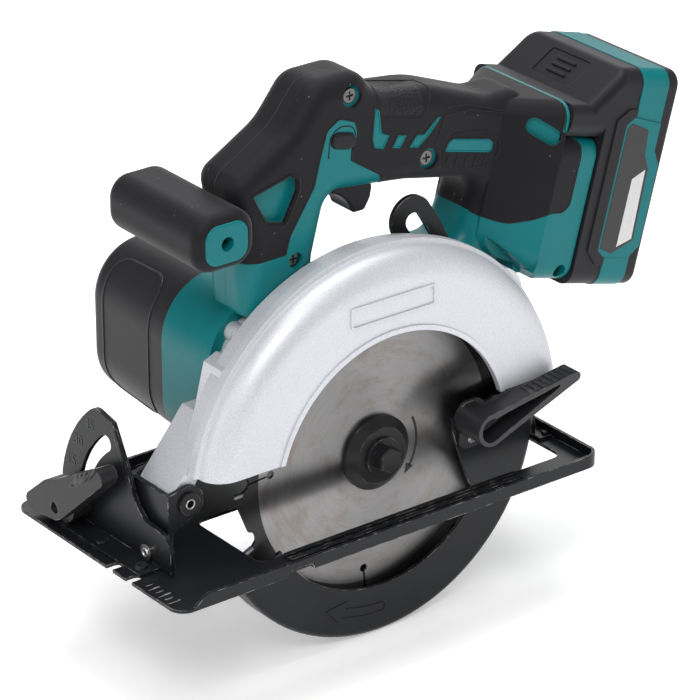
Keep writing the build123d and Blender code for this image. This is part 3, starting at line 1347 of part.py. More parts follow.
# ---------------------------------------------------------------- motor cap, front grip, controls
CAP_CORNER = RING_CORNER
CAP_HALF = RING_HALF - 0.6
with BuildPart() as cap:
    with BuildSketch(side(RING_FAR)):
        with Locations(MOTOR_XZ):
            RectangleRounded(2 * CAP_HALF, 2 * CAP_HALF, CAP_CORNER)
    extrude(amount=RING_FAR - CAP_FAR, taper=3)
    fillet(cap.edges().filter_by(Plane.XZ).group_by(Axis.Y)[-1], 7)
    # cooling slots in the rear half and a raised frame on the front face
    with BuildSketch(Plane.YZ.offset(MOTOR_XZ[0])):
        for row in range(5):
            with Locations((100, MOTOR_XZ[1] - 16 + 8 * row)):
                SlotOverall(30, 3)
    extrude(amount=THROUGH, mode=Mode.SUBTRACT)
    for y_from, y_to, r in ((RING_FAR, CAN_NEAR, FAN_ROOM_R), (CAN_NEAR, CAN_FAR, CAN_R),
                            (MOTOR_REAR_Y[0] - 0.5, MOTOR_REAR_Y[1], 9.5),
                            (MOTOR_REAR_Y[1], CAP_FAR - 3, 5.0)):
        with BuildSketch(side(y_to)):
            with Locations(MOTOR_XZ):
                Circle(r)
        extrude(amount=y_to - y_from, mode=Mode.SUBTRACT)
    with BuildSketch(side(MOTOR_REAR_Y[0])):
        with Locations(MOTOR_XZ):
            Circle(10.3)
            Rectangle(36.6, 5.0)
    extrude(amount=MOTOR_REAR_Y[0] - CAN_FAR, mode=Mode.SUBTRACT)
    with BuildSketch(side(RING_FAR + 8)):
        with Locations(MOTOR_XZ):
            with GridLocations(58, 58, 2, 2):
                Circle(1.9)
    extrude(amount=8, mode=Mode.SUBTRACT)
save(cap.part, "motor_cap")

GRIP_CORE = 24.0
with BuildPart() as grip_core:
    with BuildSketch(side(GRIP_NEAR + 32)):
        with Locations(GRIP_AXIS):
            RectangleRounded(GRIP_CORE, GRIP_CORE - 4, 7)
    extrude(amount=32.5)
    fillet(grip_core.edges().filter_by(Plane.XZ).group_by(Axis.Y)[0], 1.2)
    with BuildSketch(side(GRIP_NEAR + 10)):
        with Locations(GRIP_AXIS):
            Circle(3.4)
    extrude(amount=12, mode=Mode.SUBTRACT)
save(grip_core.part, "front_grip_core")

with BuildPart() as grip:
    add(grip_bar(0, GRIP_NEAR, GRIP_FAR))
    with BuildSketch(side(GRIP_NEAR + 32)):
        with Locations(GRIP_AXIS):
            RectangleRounded(GRIP_CORE, GRIP_CORE - 4, 7)
    extrude(amount=33, mode=Mode.SUBTRACT)
save(grip.part, "front_grip")

with BuildPart() as trigger:
    with BuildSketch(side(HANDLE_Y + TRIGGER_W / 2)):
        with BuildLine():
            Polyline((-12, 169), (12.5, 168), (16, 151), (15, 146), (11.5, 140.2), (4.5, 140.2))
            ThreePointArc((4.5, 140.2), (0.8, 147.5), (-7.5, 153))
            Polyline((-7.5, 153), (-12, 158), (-12, 169))
        make_face()
        fillet(vertices().sort_by_distance((8, 138, 0))[0:2], 2.4)
    extrude(amount=TRIGGER_W)
    fillet(trigger.edges().filter_by(Plane.XZ), 1.6)
    # trunnions that turn in the two halves of the shell
    with BuildSketch(side(HANDLE_Y + TRIGGER_W / 2 + 2.8)):
        with Locations(TRIGGER_PIN):
            Circle(2.0)
    extrude(amount=TRIGGER_W + 5.6)
save(trigger.part, "trigger")

with BuildPart() as lock_off:
    with BuildSketch(side(FAR_SKIN + 1.6)):
        with Locations(LOCK_AT):
            SlotOverall(14, 7.5, rotation=LOCK_LEAN)
    extrude(amount=2 * HANDLE_HALF + 3.2)
    fillet(lock_off.edges().filter_by(Plane.XZ), 1.2)
save(lock_off.part, "lock_off_button")

with BuildPart() as switch:
    with BuildSketch(side(HANDLE_Y + SWITCH_W / 2)):
        with Locations(SWITCH[:2]):
            Rectangle(SWITCH[2], SWITCH[3], align=Align.MIN)
    extrude(amount=SWITCH_W)
    with BuildSketch(side(HANDLE_Y - SWITCH_W / 2 + 1)):
        with Locations((SWITCH[0] + 9, SWITCH[1] + 8), (SWITCH[0] + 23, SWITCH[1] + 8)):
            Rectangle(8, 10)
    extrude(amount=1, mode=Mode.SUBTRACT)
save(switch.part, "switch_body")

with BuildPart() as shell_screws:
    head_y = NEAR_SKIN + WELL_DEPTH - 0.2
    with BuildSketch(side(HANDLE_Y + 7)):
        with Locations(*SCREWS):
            Circle(1.7)
    extrude(amount=HANDLE_Y + 7 - head_y)
    with BuildSketch(side(head_y + 0.2)):
        with Locations(*SCREWS):
            Circle(3.6)
    extrude(amount=2.4)
    with BuildSketch(side(head_y - 1.0)):
        with Locations(*SCREWS):
            Rectangle(4.2, 0.9)
            Rectangle(0.9, 4.2)
    extrude(amount=1.5, mode=Mode.SUBTRACT)
    # studs that hold the motor cap
    with BuildSketch(side(RING_FAR + 8)):
        with Locations(MOTOR_XZ):
            with GridLocations(58, 58, 2, 2):
                Circle(1.9)
    extrude(amount=8)
save(shell_screws.part, "housing_screws")

POST_AT = (-64.0, 98.0)
with BuildPart() as post:
    with BuildSketch(side(RING_NEAR - FLANGE_T - 1.6)):
        with Locations(POST_AT):
            Circle(4.0)
    extrude(amount=RING_NEAR - FLANGE_T - 1.6 - GUARD_BACK)
save(post.part, "spacer_post")

# ---------------------------------------------------------------- guard bearing details
CLIP_NEAR = LOWER_BACK - LOWER_WALL - 1.2
with BuildPart() as circlip:
    with BuildSketch(side(CLIP_NEAR + 1.0)):
        with Locations(ARBOR_XZ):
            Circle(19.6)
            Circle(NECK_R, mode=Mode.SUBTRACT)
        with Locations((0, ARBOR_Z + 20)):
            Rectangle(7, 14, mode=Mode.SUBTRACT)
    extrude(amount=1.0)
save(circlip.part, "guard_circlip")

WIRE = 1.2
COILS = 4
COIL_PITCH = 1.4
with BuildPart() as spring:
    with BuildLine() as coil:
        Helix(pitch=COIL_PITCH, height=COIL_PITCH * COILS, radius=19.4,
              center=(0, CASE_NEAR - WIRE / 2, ARBOR_Z), direction=(0, -1, 0))
    with BuildSketch(Plane(origin=coil.line @ 0, z_dir=coil.line % 0)):
        Rectangle(WIRE, WIRE)
    sweep(is_frenet=True)
save(spring.part, "guard_return_spring")

# ---------------------------------------------------------------- spindle lock
LOCK_REST = SHOULDER_R + 0.6
with BuildPart() as spindle_lock:
    with BuildSketch(side(LOCK_PLATE_Y + LOCK_PLATE_T)):
        with Locations((LOCK_REST, ARBOR_Z)):
            Rectangle(CASE_R + 3 - LOCK_REST, 1.8, align=(Align.MIN, Align.CENTER))
        with Locations((LOCK_REST + 3.2, ARBOR_Z)):
            Rectangle(CASE_R + 3 - LOCK_REST - 3.2, LOCK_PLATE_W, align=(Align.MIN, Align.CENTER))
    extrude(amount=LOCK_PLATE_T)
    with BuildSketch(side(LOCK_PLATE_Y + LOCK_PLATE_T + 3)):
        with Locations((CASE_R + 3, ARBOR_Z)):
            RectangleRounded(6, 11, 1.5, align=(Align.MIN, Align.CENTER))
    extrude(amount=LOCK_PLATE_T + 6)
save(spindle_lock.part, "spindle_lock_button")

# ---------------------------------------------------------------- battery
PACK_LOW = -54.0
PACK_HIGH = 56.0
PACK_WALL = 2.5
PACK_FRONT = -43.0
BAND_FRONT = -25.0
BAND_REAR = -8.0
LATCH_BLOCK = -66.0
LATCH_LOW = 20.8
LATCH_TOP = 37.6
TONGUE_LOW = -50.0
CELL_R = 9.1
CELL_L = 65.0
CELL_PITCH = 19.0
CELL_MID = -2.5
CELL_ROOM = (CELL_MID - 2 * CELL_PITCH - CELL_R - 0.2, CELL_MID + 2 * CELL_PITCH + CELL_R + 0.2)
CELL_ROWS = (-31.6, -12.4)
SLOT_ACROSS = (-14, 0, 14)
LATCH_W = 28.0
LATCH_H = 16.0


def pack_box(w_from, w_to, wide, low, high, corner):
    """Rounded box in the battery's directions."""
    with BuildPart() as box:
        with BuildSketch(pack(w_from)):
            with Locations((0, (low + high) / 2)):
                RectangleRounded(wide, high - low, corner)
        extrude(amount=w_to - w_from)
    return box.part


def latch_plane(depth):
    """Plane of the sloping face over the latch, sunk by a depth."""
    x, z = pack_point((PACK_HIGH + LATCH_TOP) / 2, (LATCH_RISE - 36.0) / 2)
    lean = radians(45 - PACK_LEAN)
    return Plane((x + depth * sin(lean), HANDLE_Y, z - depth * cos(lean)), x_dir=(0, 1, 0),
                 z_dir=(-sin(lean), 0, cos(lean)))


LATCH_RISE = -36.0 - (PACK_HIGH - LATCH_TOP)    # where the 45 degree face ends
inner_wide = PACK_W - 2 * PACK_WALL

# side plates of the battery: outline of the coloured panel and of the field in front of it
PANEL_T = 0.9
PANEL = [(29, -30.5), (-34.5, -30.5), (-38, -26), (-38, -9), (-32, -3.5), (9.5, -3.5),
         (16.5, -8.0), (30.5, -8.0), (33, -26)]
FRAME = [(31, -37), (-35, -37), (-42, -30), (-42, BAND_FRONT), (37, BAND_FRONT), (37, -30)]


def side_plates(outline):
    """Thin plates on both sides of the battery, from an outline seen from the side."""
    with BuildPart() as plates:
        for y_to in (HANDLE_Y - PACK_W / 2, HANDLE_Y + PACK_W / 2 + PANEL_T):
            with BuildSketch(side(y_to)):
                Polygon(*[pack_point(u, w) for u, w in outline], align=None)
            extrude(amount=PANEL_T)
    return plates.part


def on_latch_slope(spot):
    """Whether a point lies on the edges round the sloping face."""
    lean = radians(PACK_LEAN)
    u = (spot.X - PACK_X) * sin(lean) + (spot.Z - PACK_Z) * cos(lean)
    w = (spot.X - PACK_X) * cos(lean) - (spot.Z - PACK_Z) * sin(lean)
    return u > LATCH_TOP - 1 and w < -36

with BuildPart() as case:
    add(pack_box(PACK_FRONT, BAND_FRONT, PACK_W, PACK_LOW, PACK_HIGH, 8))
    add(pack_box(LATCH_BLOCK, BAND_FRONT, PACK_W, LATCH_LOW, PACK_HIGH, 8))
    with BuildSketch(side(THROUGH)):
        Polygon(pack_point(PACK_HIGH, -36), pack_point(LATCH_TOP, LATCH_RISE),
                pack_point(LATCH_TOP, -90), pack_point(PACK_HIGH + 30, -90),
                pack_point(PACK_HIGH + 30, -36), align=None)
    extrude(amount=2 * THROUGH, mode=Mode.SUBTRACT)
    cheeks = case.edges().filter_by(lambda e: abs(abs(e.center().Y - HANDLE_Y) - PACK_W / 2) < 0.01)
    fillet(cheeks.filter_by(lambda e: on_latch_slope(e.center())), 5)
    # raised field that frames the side panels
    add(side_plates(FRAME))
    add(side_plates(PANEL), mode=Mode.SUBTRACT)
    # tongue with undercut rails
    add(pack_box(-47.6, PACK_FRONT, 47.6, TONGUE_LOW, LATCH_LOW + 4, 0.6))
    add(pack_box(-53.6, -47.6, 56, TONGUE_LOW, LATCH_LOW + 4, 0.6))
    # room for the cells
    add(pack_box(-41.2, BAND_FRONT, inner_wide, *CELL_ROOM, 3), mode=Mode.SUBTRACT)
    for across in SLOT_ACROSS:
        with BuildSketch(pack(-54)):
            with Locations((across, TONGUE_LOW + 12)):
                Rectangle(2.4, 30)
        extrude(amount=8, mode=Mode.SUBTRACT)
    with BuildSketch(latch_plane(4.2)):
        RectangleRounded(LATCH_W + 2 * GAP, LATCH_H + 2 * GAP, 2)
    extrude(amount=10, mode=Mode.SUBTRACT)
save(case.part, "battery_case")

with BuildPart() as band:
    add(pack_box(BAND_FRONT, BAND_REAR, PACK_W + 0.8, PACK_LOW - 0.4, PACK_HIGH + 0.4, 8.4))
    add(pack_box(BAND_FRONT, BAND_REAR, inner_wide, *CELL_ROOM, 3), mode=Mode.SUBTRACT)
    add(side_plates(PANEL), mode=Mode.SUBTRACT)
save(band.part, "battery_band")

END_SCREWS = (62, 94)
with BuildPart() as end_plate:
    add(pack_box(BAND_REAR, 0, PACK_W, PACK_LOW, PACK_HIGH, 8))
    rear_face = end_plate.faces().filter_by(lambda f: abs(f.center().X - PACK_X) < 3).sort_by(Axis.X)
    fillet(rear_face[-1].edges(), 3)
    add(pack_box(BAND_REAR, -3.0, inner_wide, *CELL_ROOM, 3), mode=Mode.SUBTRACT)
    with BuildSketch(pack(-2.4)):
        with Locations((0, (PACK_LOW + PACK_HIGH) / 2)):
            with GridLocations(*END_SCREWS, 2, 2):
                Circle(3.2)
    extrude(amount=8, mode=Mode.SUBTRACT)
save(end_plate.part, "battery_end_plate")

with BuildPart() as end_screws:
    with BuildSketch(pack(-2.4)):
        with Locations((0, (PACK_LOW + PACK_HIGH) / 2)):
            with GridLocations(*END_SCREWS, 2, 2):
                Circle(2.8)
    extrude(amount=1.8)
    with BuildSketch(pack(-1.6)):
        with Locations((0, (PACK_LOW + PACK_HIGH) / 2)):
            with GridLocations(*END_SCREWS, 2, 2):
                Rectangle(3.4, 0.8)
                Rectangle(0.8, 3.4)
    extrude(amount=2, mode=Mode.SUBTRACT)
save(end_screws.part, "battery_screws")

with BuildPart() as cells:
    with BuildSketch(side(HANDLE_Y + CELL_L / 2)):
        for w in CELL_ROWS:
            for step in range(-2, 3):
                with Locations(pack_point(CELL_MID + CELL_PITCH * step, w)):
                    Circle(CELL_R)
    extrude(amount=CELL_L)
save(cells.part, "battery_cells")

with BuildPart() as holders:
    for y_to in (HANDLE_Y - CELL_L / 2, HANDLE_Y + inner_wide / 2):
        with BuildSketch(side(y_to)):
            Polygon(pack_point(CELL_ROOM[0] + 3, -41.2), pack_point(CELL_ROOM[1] - 3, -41.2),
                    pack_point(CELL_ROOM[1] - 3, -3.0), pack_point(CELL_ROOM[0] + 3, -3.0),
                    align=None)
        extrude(amount=(inner_wide - CELL_L) / 2)
save(holders.part, "cell_holders")

with BuildPart() as latch:
    with BuildSketch(latch_plane(2.6)):
        RectangleRounded(LATCH_W, LATCH_H, 1.7)
    extrude(amount=2.2)
    with BuildSketch(latch_plane(0.4)):
        with GridLocations(1, 4.0, 1, 3):
            SlotOverall(14, 1.6)
    extrude(amount=0.9)
save(latch.part, "latch_button")

with BuildPart() as panels:
    add(side_plates(PANEL))
save(panels.part, "battery_side_panels")

with BuildPart() as contacts:
    for across in SLOT_ACROSS:
        with BuildSketch(pack(-47.6)):
            with Locations((across, TONGUE_LOW + 20)):
                Rectangle(2.4, 12)
        extrude(amount=1.6)
save(contacts.part, "battery_contacts")

with BuildPart() as terminal_block:
    with BuildSketch(pack(-60.0)):
        with Locations((0, -30)):
            Rectangle(40, 24)
    extrude(amount=5.4)
    with BuildSketch(pack(-54.6)):
        for across in SLOT_ACROSS:
            with Locations((across, TONGUE_LOW + 14)):
                Rectangle(0.8, 9)
    extrude(amount=5.2)
save(terminal_block.part, "terminal_block")
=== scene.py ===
"""Looks of the cordless circular saw: materials, printed marks, light and camera."""
import json
import math

import bpy
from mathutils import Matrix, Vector


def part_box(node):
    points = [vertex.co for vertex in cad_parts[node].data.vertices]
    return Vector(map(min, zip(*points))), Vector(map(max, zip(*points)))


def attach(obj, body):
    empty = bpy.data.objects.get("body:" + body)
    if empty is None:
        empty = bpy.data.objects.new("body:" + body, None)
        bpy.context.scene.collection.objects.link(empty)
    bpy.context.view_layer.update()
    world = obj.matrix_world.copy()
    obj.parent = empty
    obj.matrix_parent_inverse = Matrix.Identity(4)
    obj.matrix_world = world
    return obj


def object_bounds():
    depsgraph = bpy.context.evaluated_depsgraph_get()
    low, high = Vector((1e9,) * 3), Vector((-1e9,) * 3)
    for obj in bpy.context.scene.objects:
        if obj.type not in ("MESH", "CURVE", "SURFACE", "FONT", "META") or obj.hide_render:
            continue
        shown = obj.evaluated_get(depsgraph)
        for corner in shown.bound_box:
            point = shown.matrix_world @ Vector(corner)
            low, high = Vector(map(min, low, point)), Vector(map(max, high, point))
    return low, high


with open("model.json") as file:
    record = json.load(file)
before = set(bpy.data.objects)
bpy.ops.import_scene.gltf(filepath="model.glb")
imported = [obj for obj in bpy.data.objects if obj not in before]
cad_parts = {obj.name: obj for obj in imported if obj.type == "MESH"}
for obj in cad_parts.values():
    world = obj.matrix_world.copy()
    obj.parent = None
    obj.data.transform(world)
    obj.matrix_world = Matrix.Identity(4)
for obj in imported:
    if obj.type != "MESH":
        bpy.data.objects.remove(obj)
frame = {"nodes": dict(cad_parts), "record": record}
rest_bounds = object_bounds()
nodes = frame["nodes"]
scene = bpy.context.scene

MM = 0.001
ARBOR = Vector((0.0, 0.0, 26.0 * MM))
POLISHED_R = 68.4 * MM                   # the blade is polished up to here
HANDLE_Y = 30.0 * MM                     # middle plane of the handle
BLADE_FACE = -0.8 * MM
LOWER_FACE = -8.6 * MM
PANEL_FACE = 38.4 * MM                   # faces of the battery's side panels, from the middle
PACK_LEAN = math.radians(15)
PACK_ORIGIN = (170.0 * MM, 123.0 * MM)
BEVEL_AXIS = (10.0 * MM, 7.5 * MM)       # Y and Z of the axis on which the saw tilts
DEPTH_PIVOT = (-108.0 * MM, 32.0 * MM)   # X and Z of the pin for the depth of cut
QUADRANT_X = -124.05 * MM                # front face of the bevel quadrant


# ---------------------------------------------------------------- node helpers
class Shader:
    """Small helper round one node material."""

    def __init__(self, name):
        self.material = bpy.data.materials.new(name)
        self.material.use_nodes = True
        self.tree = self.material.node_tree
        self.tree.nodes.clear()
        self.output = self.add("ShaderNodeOutputMaterial")
        self.surface = self.add("ShaderNodeBsdfPrincipled")
        self.link(self.surface, "BSDF", self.output, "Surface")

    def add(self, kind, **properties):
        """New node with its properties set."""
        node = self.tree.nodes.new(kind)
        for key, value in properties.items():
            setattr(node, key, value)
        return node

    def link(self, a, a_out, b, b_in):
        """Links an output of node a to an input of node b."""
        self.tree.links.new(a.outputs[a_out], b.inputs[b_in])

    def wire(self, source, node, socket):
        """Links a (node, socket) pair to a node's input."""
        self.tree.links.new(source[0].outputs[source[1]], node.inputs[socket])

    def set(self, socket, value):
        """Constant on the surface shader's own socket."""
        self.surface.inputs[socket].default_value = value

    def coords(self):
        """Position in metres, fixed to the object."""
        if not hasattr(self, "_coords"):
            self._coords = self.add("ShaderNodeTexCoord")
        return self._coords

    def math(self, operation, a, b=None, clamp=False):
        """Math node whose inputs are (node, socket) pairs or numbers."""
        node = self.add("ShaderNodeMath", operation=operation, use_clamp=clamp)
        for slot, value in enumerate((a, b)):
            if value is None:
                continue
            if isinstance(value, tuple):
                self.wire(value, node, slot)
            else:
                node.inputs[slot].default_value = value
        return (node, 0)

    def scaled(self, source, factor, offset=None):
        """A source times a factor, plus an offset where one is given."""
        product = self.math("MULTIPLY", source, factor)
        return product if offset is None else self.math("ADD", product, offset)

    def noise(self, scale, detail=2.0, rough=0.5, stretch=None, vector=None):
        """Noise in object space; stretch scales the three axes."""
        noise = self.add("ShaderNodeTexNoise")
        noise.inputs["Scale"].default_value = scale
        noise.inputs["Detail"].default_value = detail
        noise.inputs["Roughness"].default_value = rough
        if vector is None:
            mapping = self.add("ShaderNodeMapping")
            if stretch:
                mapping.inputs["Scale"].default_value = stretch
            self.link(self.coords(), "Object", mapping, "Vector")
            self.link(mapping, 0, noise, "Vector")
        else:
            self.wire(vector, noise, "Vector")
        return (noise, 0)

    def ramp(self, source, stops):
        """Colour ramp of (position, colour) stops."""
        ramp = self.add("ShaderNodeValToRGB")
        elements = ramp.color_ramp.elements
        while len(elements) < len(stops):
            elements.new(0.5)
        for element, (position, colour) in zip(elements, stops):
            element.position = position
            element.color = (*colour, 1.0)
        self.wire(source, ramp, 0)
        return (ramp, 0)

    def mix(self, factor, a, b):
        """Mix of two colours by a (node, socket) pair; each is a colour or such a pair."""
        mix = self.add("ShaderNodeMix", data_type="RGBA")
        self.wire(factor, mix, 0)
        for socket, value in ((6, a), (7, b)):
            if hasattr(value[0], "outputs"):
                self.wire(value, mix, socket)
            else:
                mix.inputs[socket].default_value = (*value, 1.0)
        return (mix, 2)

    def feed(self, socket, source):
        """Links a (node, socket) pair to the surface shader."""
        self.wire(source, self.surface, socket)

    def bump(self, heights, edge):
        """Bump from (source, strength, distance) layers over edges rounded to a radius."""
        bevel = self.add("ShaderNodeBevel", samples=4)
        bevel.inputs["Radius"].default_value = edge
        normal = (bevel, 0)
        for source, strength, distance in heights:
            bump = self.add("ShaderNodeBump")
            bump.inputs["Strength"].default_value = strength
            bump.inputs["Distance"].default_value = distance
            self.wire(source, bump, "Height")
            self.wire(normal, bump, "Normal")
            normal = (bump, 0)
        self.feed("Normal", normal)

    def edges(self, radius):
        """1 on sharp edges, 0 on flat faces: how far the softened normal turns away."""
        bevel = self.add("ShaderNodeBevel", samples=6)
        bevel.inputs["Radius"].default_value = radius
        geometry = self.add("ShaderNodeNewGeometry")
        dot = self.add("ShaderNodeVectorMath", operation="DOT_PRODUCT")
        self.link(bevel, 0, dot, 0)
        self.link(geometry, "True Normal", dot, 1)
        return self.math("SUBTRACT", 1.0, (dot, "Value"), clamp=True)


def plastic(name, colour, dark, rough, grain=0.05, grain_scale=2600, gloss=0.22, sheen=0.0):
    """Moulded plastic with a fine spark-eroded grain."""
    s = Shader(name)
    blotch = s.noise(28, 3)
    s.feed("Base Color", s.mix(s.scaled(blotch, 0.9), colour, dark))
    fine = s.noise(grain_scale, 2, 0.6)
    s.feed("Roughness", s.scaled(fine, 0.16, rough - 0.08))
    s.set("Specular IOR Level", gloss)
    s.set("Sheen Weight", sheen)
    s.set("Sheen Roughness", 0.45)
    s.bump([(fine, grain, 0.0002)], 0.0006)
    return s.material


def rubber(name, colour, dark):
    """Soft overmould: matt, slightly uneven, with a fine pebble and a few specks of lint."""
    s = Shader(name)
    blotch = s.noise(22, 4)
    lint = s.add("ShaderNodeTexVoronoi")
    lint.inputs["Scale"].default_value = 210
    s.link(s.coords(), "Object", lint, "Vector")
    speck = s.math("LESS_THAN", (lint, "Distance"), 0.075)
    speck = s.math("MULTIPLY", speck, s.math("GREATER_THAN", s.noise(55, 1), 0.57))
    base = s.mix(blotch, colour, dark)
    s.feed("Base Color", s.mix(s.scaled(speck, 0.45), base, (0.34, 0.33, 0.33)))
    pebble = s.noise(1900, 2, 0.55)
    s.feed("Roughness", s.scaled(pebble, 0.16, 0.49))
    s.set("Specular IOR Level", 0.16)
    s.set("Sheen Weight", 0.17)
    s.set("Sheen Roughness", 0.42)
    s.bump([(pebble, 0.14, 0.0002)], 0.0009)
    return s.material


def cast(name):
    """Sparkle silver lacquer over a die casting."""
    s = Shader(name)
    blotch = s.noise(18, 3)
    flakes = s.noise(2600, 2, 0.6)
    base = s.mix(blotch, (0.63, 0.64, 0.68), (0.70, 0.71, 0.75))
    glint = s.ramp(flakes, [(0.54, (0, 0, 0)), (0.66, (1, 1, 1))])
    dull = s.ramp(flakes, [(0.34, (1, 1, 1)), (0.46, (0, 0, 0))])
    base = s.mix(s.scaled(glint, 0.5), base, (0.95, 0.96, 1.0))
    s.feed("Base Color", s.mix(s.scaled(dull, 0.45), base, (0.42, 0.43, 0.47)))
    s.set("Metallic", 0.42)
    s.feed("Roughness", s.scaled(blotch, 0.08, 0.44))
    orange = s.noise(900, 2)
    s.bump([(orange, 0.10, 0.0003), (flakes, 0.07, 0.00015)], 0.0004)
    return s.material


def painted_sheet(name, colour=(0.007, 0.0075, 0.009), rough=0.30, wear=0.6, gloss=0.22):
    """Black paint on steel, rubbed bright here and there along the edges."""
    s = Shader(name)
    blotch = s.noise(35, 4)
    orange = s.noise(700, 2)
    s.feed("Roughness", s.scaled(blotch, 0.12, rough - 0.04))
    edge = s.math("MULTIPLY", s.edges(0.0007), 6.0, clamp=True)
    patchy = s.ramp(s.noise(160, 5, 0.7), [(0.49, (0, 0, 0)), (0.60, (1, 1, 1))])
    worn = s.scaled(s.math("MULTIPLY", edge, patchy), wear)
    paint = s.mix(blotch, colour, tuple(c * 2.2 for c in colour))
    s.feed("Base Color", s.mix(worn, paint, (0.75, 0.72, 0.68)))
    s.feed("Metallic", worn)
    s.set("Specular IOR Level", gloss)
    s.bump([(orange, 0.06, 0.0002)], 0.0006)
    return s.material


def turned_metal(name, colour, rough):
    """Bright machined steel with faint tool marks."""
    s = Shader(name)
    marks = s.noise(220, 3, 0.6, stretch=(60, 1, 60))
    s.feed("Base Color", s.mix(marks, colour, tuple(c * 0.72 for c in colour)))
    s.set("Metallic", 1.0)
    s.feed("Roughness", s.scaled(marks, 0.18, rough - 0.06))
    s.bump([(marks, 0.08, 0.0001)], 0.0004)
    return s.material


def blade_steel(name):
    """Ground disc: fine rings, a duller rim, faint warm stains."""
    s = Shader(name)
    split = s.add("ShaderNodeSeparateXYZ")
    s.link(s.coords(), "Object", split, 0)
    dz = s.math("SUBTRACT", (split, 2), ARBOR.z)
    radius = s.math("SQRT", s.math("ADD", s.math("MULTIPLY", (split, 0), (split, 0)),
                                   s.math("MULTIPLY", dz, dz)))
    angle = s.math("ARCTAN2", dz, (split, 0))

    def round_disc(along_radius, along_turn):
        """Noise coordinates that change at one rate with the radius, at another round the disc."""
        place = s.add("ShaderNodeCombineXYZ")
        s.wire(s.scaled(radius, along_radius), place, 0)
        s.wire(s.scaled(s.math("SINE", angle), along_turn), place, 1)
        s.wire(s.scaled(s.math("COSINE", angle), along_turn), place, 2)
        return (place, 0)

    rings = s.noise(1.0, 4, 0.65, vector=round_disc(2400.0, 2.4))
    smear = s.noise(1.0, 6, 0.72, vector=round_disc(130.0, 2.6))
    stain = s.ramp(smear, [(0.50, (0, 0, 0)), (0.76, (1, 1, 1))])
    broad = s.noise(19, 3, 0.6)
    dull_rim = s.math("GREATER_THAN", radius, POLISHED_R)
    body = s.mix(rings, (0.21, 0.207, 0.207), (0.37, 0.363, 0.36))
    body = s.mix(s.scaled(broad, 0.55), body, (0.16, 0.157, 0.156))
    body = s.mix(s.scaled(stain, 0.7), body, (0.17, 0.12, 0.092))
    body = s.mix(s.scaled(dull_rim, 0.93), body, (0.04, 0.04, 0.042))
    s.feed("Base Color", body)
    s.set("Metallic", 1.0)
    rough = s.math("ADD", s.scaled(rings, 0.12), s.scaled(broad, 0.12))
    rough = s.math("ADD", rough, s.scaled(dull_rim, 0.18))
    s.feed("Roughness", s.math("ADD", rough, 0.20))
    s.set("Anisotropic", 0.9)
    s.set("Anisotropic Rotation", 0.25)
    tangent = s.add("ShaderNodeTangent", direction_type="RADIAL", axis="Y")
    s.feed("Tangent", (tangent, 0))
    s.bump([(rings, 0.07, 0.00006), (stain, 0.05, 0.00005)], 0.0003)
    return s.material


def plain(name, colour, metallic, rough, scale=400):
    """Small inner parts: one colour with a light mottling and grain."""
    s = Shader(name)
    mottle = s.noise(scale, 3)
    s.feed("Base Color", s.mix(mottle, colour, tuple(c * 0.75 for c in colour)))
    s.set("Metallic", metallic)
    s.feed("Roughness", s.scaled(mottle, 0.15, rough - 0.07))
    s.bump([(mottle, 0.08, 0.0002)], 0.0004)
    return s.material


TEAL = (0.001, 0.190, 0.203)
materials = {
    "cast": cast("cast"),
    "black_sheet": painted_sheet("black_sheet"),
    "teal_plastic": plastic("teal_plastic", TEAL, (0.001, 0.145, 0.160), rough=0.34),
    "black_plastic": plastic("black_plastic", (0.009, 0.009, 0.011), (0.014, 0.0135, 0.017),
                             rough=0.46, grain=0.08, grain_scale=1700, gloss=0.2, sheen=0.10),
    "black_rubber": rubber("black_rubber", (0.007, 0.0062, 0.0082), (0.0115, 0.0102, 0.0133)),
    "blade_steel": blade_steel("blade_steel"),
    "bright_steel": turned_metal("bright_steel", (0.50, 0.49, 0.485), rough=0.24),
    "black_oxide": painted_sheet("black_oxide", (0.011, 0.011, 0.012), rough=0.34, wear=0.35),
    "screw_steel": turned_metal("screw_steel", (0.17, 0.168, 0.166), rough=0.2),
    "lever_black": painted_sheet("lever_black", (0.012, 0.012, 0.014), rough=0.38, wear=0.3,
                                 gloss=0.5),
    "carbide": turned_metal("carbide", (0.40, 0.40, 0.42), rough=0.36),
    "copper": plain("copper", (0.62, 0.25, 0.12), 1.0, 0.35, 900),
    "brass_part": plain("brass_part", (0.80, 0.60, 0.26), 1.0, 0.30, 600),
    "ferrite": plain("ferrite", (0.05, 0.05, 0.055), 0.0, 0.6),
    "carbon": plain("carbon", (0.025, 0.025, 0.025), 0.0, 0.7),
    "core_steel": plain("core_steel", (0.28, 0.28, 0.29), 0.9, 0.45, 700),
    "cell_wrap": plain("cell_wrap", (0.04, 0.20, 0.42), 0.0, 0.3),
    "white_plastic": plain("white_plastic", (0.62, 0.62, 0.60), 0.0, 0.45),
}

# pieces whose outside differs from the rest of their slot: rivets painted over with the base,
# a blackened pivot pin and lever, coloured panels on the battery
FINISH = {"base_rivets": "black_sheet", "depth_pivot_pin": "black_oxide",
          "battery_side_panels": "teal_plastic", "guard_lever": "lever_black",
          "housing_screws": "screw_steel", "bevel_lever": "black_oxide"}

for entry in frame["record"]["subparts"]:
    piece = nodes[entry["node"]]
    piece.data.materials.clear()
    piece.data.materials.append(materials[FINISH.get(entry["node"], entry["material_slot"])])


# ---------------------------------------------------------------- marks and grooves
def finish(name, colour, rough, grain=0.06):
    """Finish of a mark: a mottled colour with a fine grain."""
    s = Shader(name)
    mottle = s.noise(1800, 3)
    s.feed("Base Color", s.mix(mottle, colour, tuple(c * 0.7 for c in colour)))
    s.feed("Roughness", s.scaled(mottle, 0.12, rough - 0.06))
    s.bump([(mottle, grain, 0.0001)], 0.0002)
    return s.material


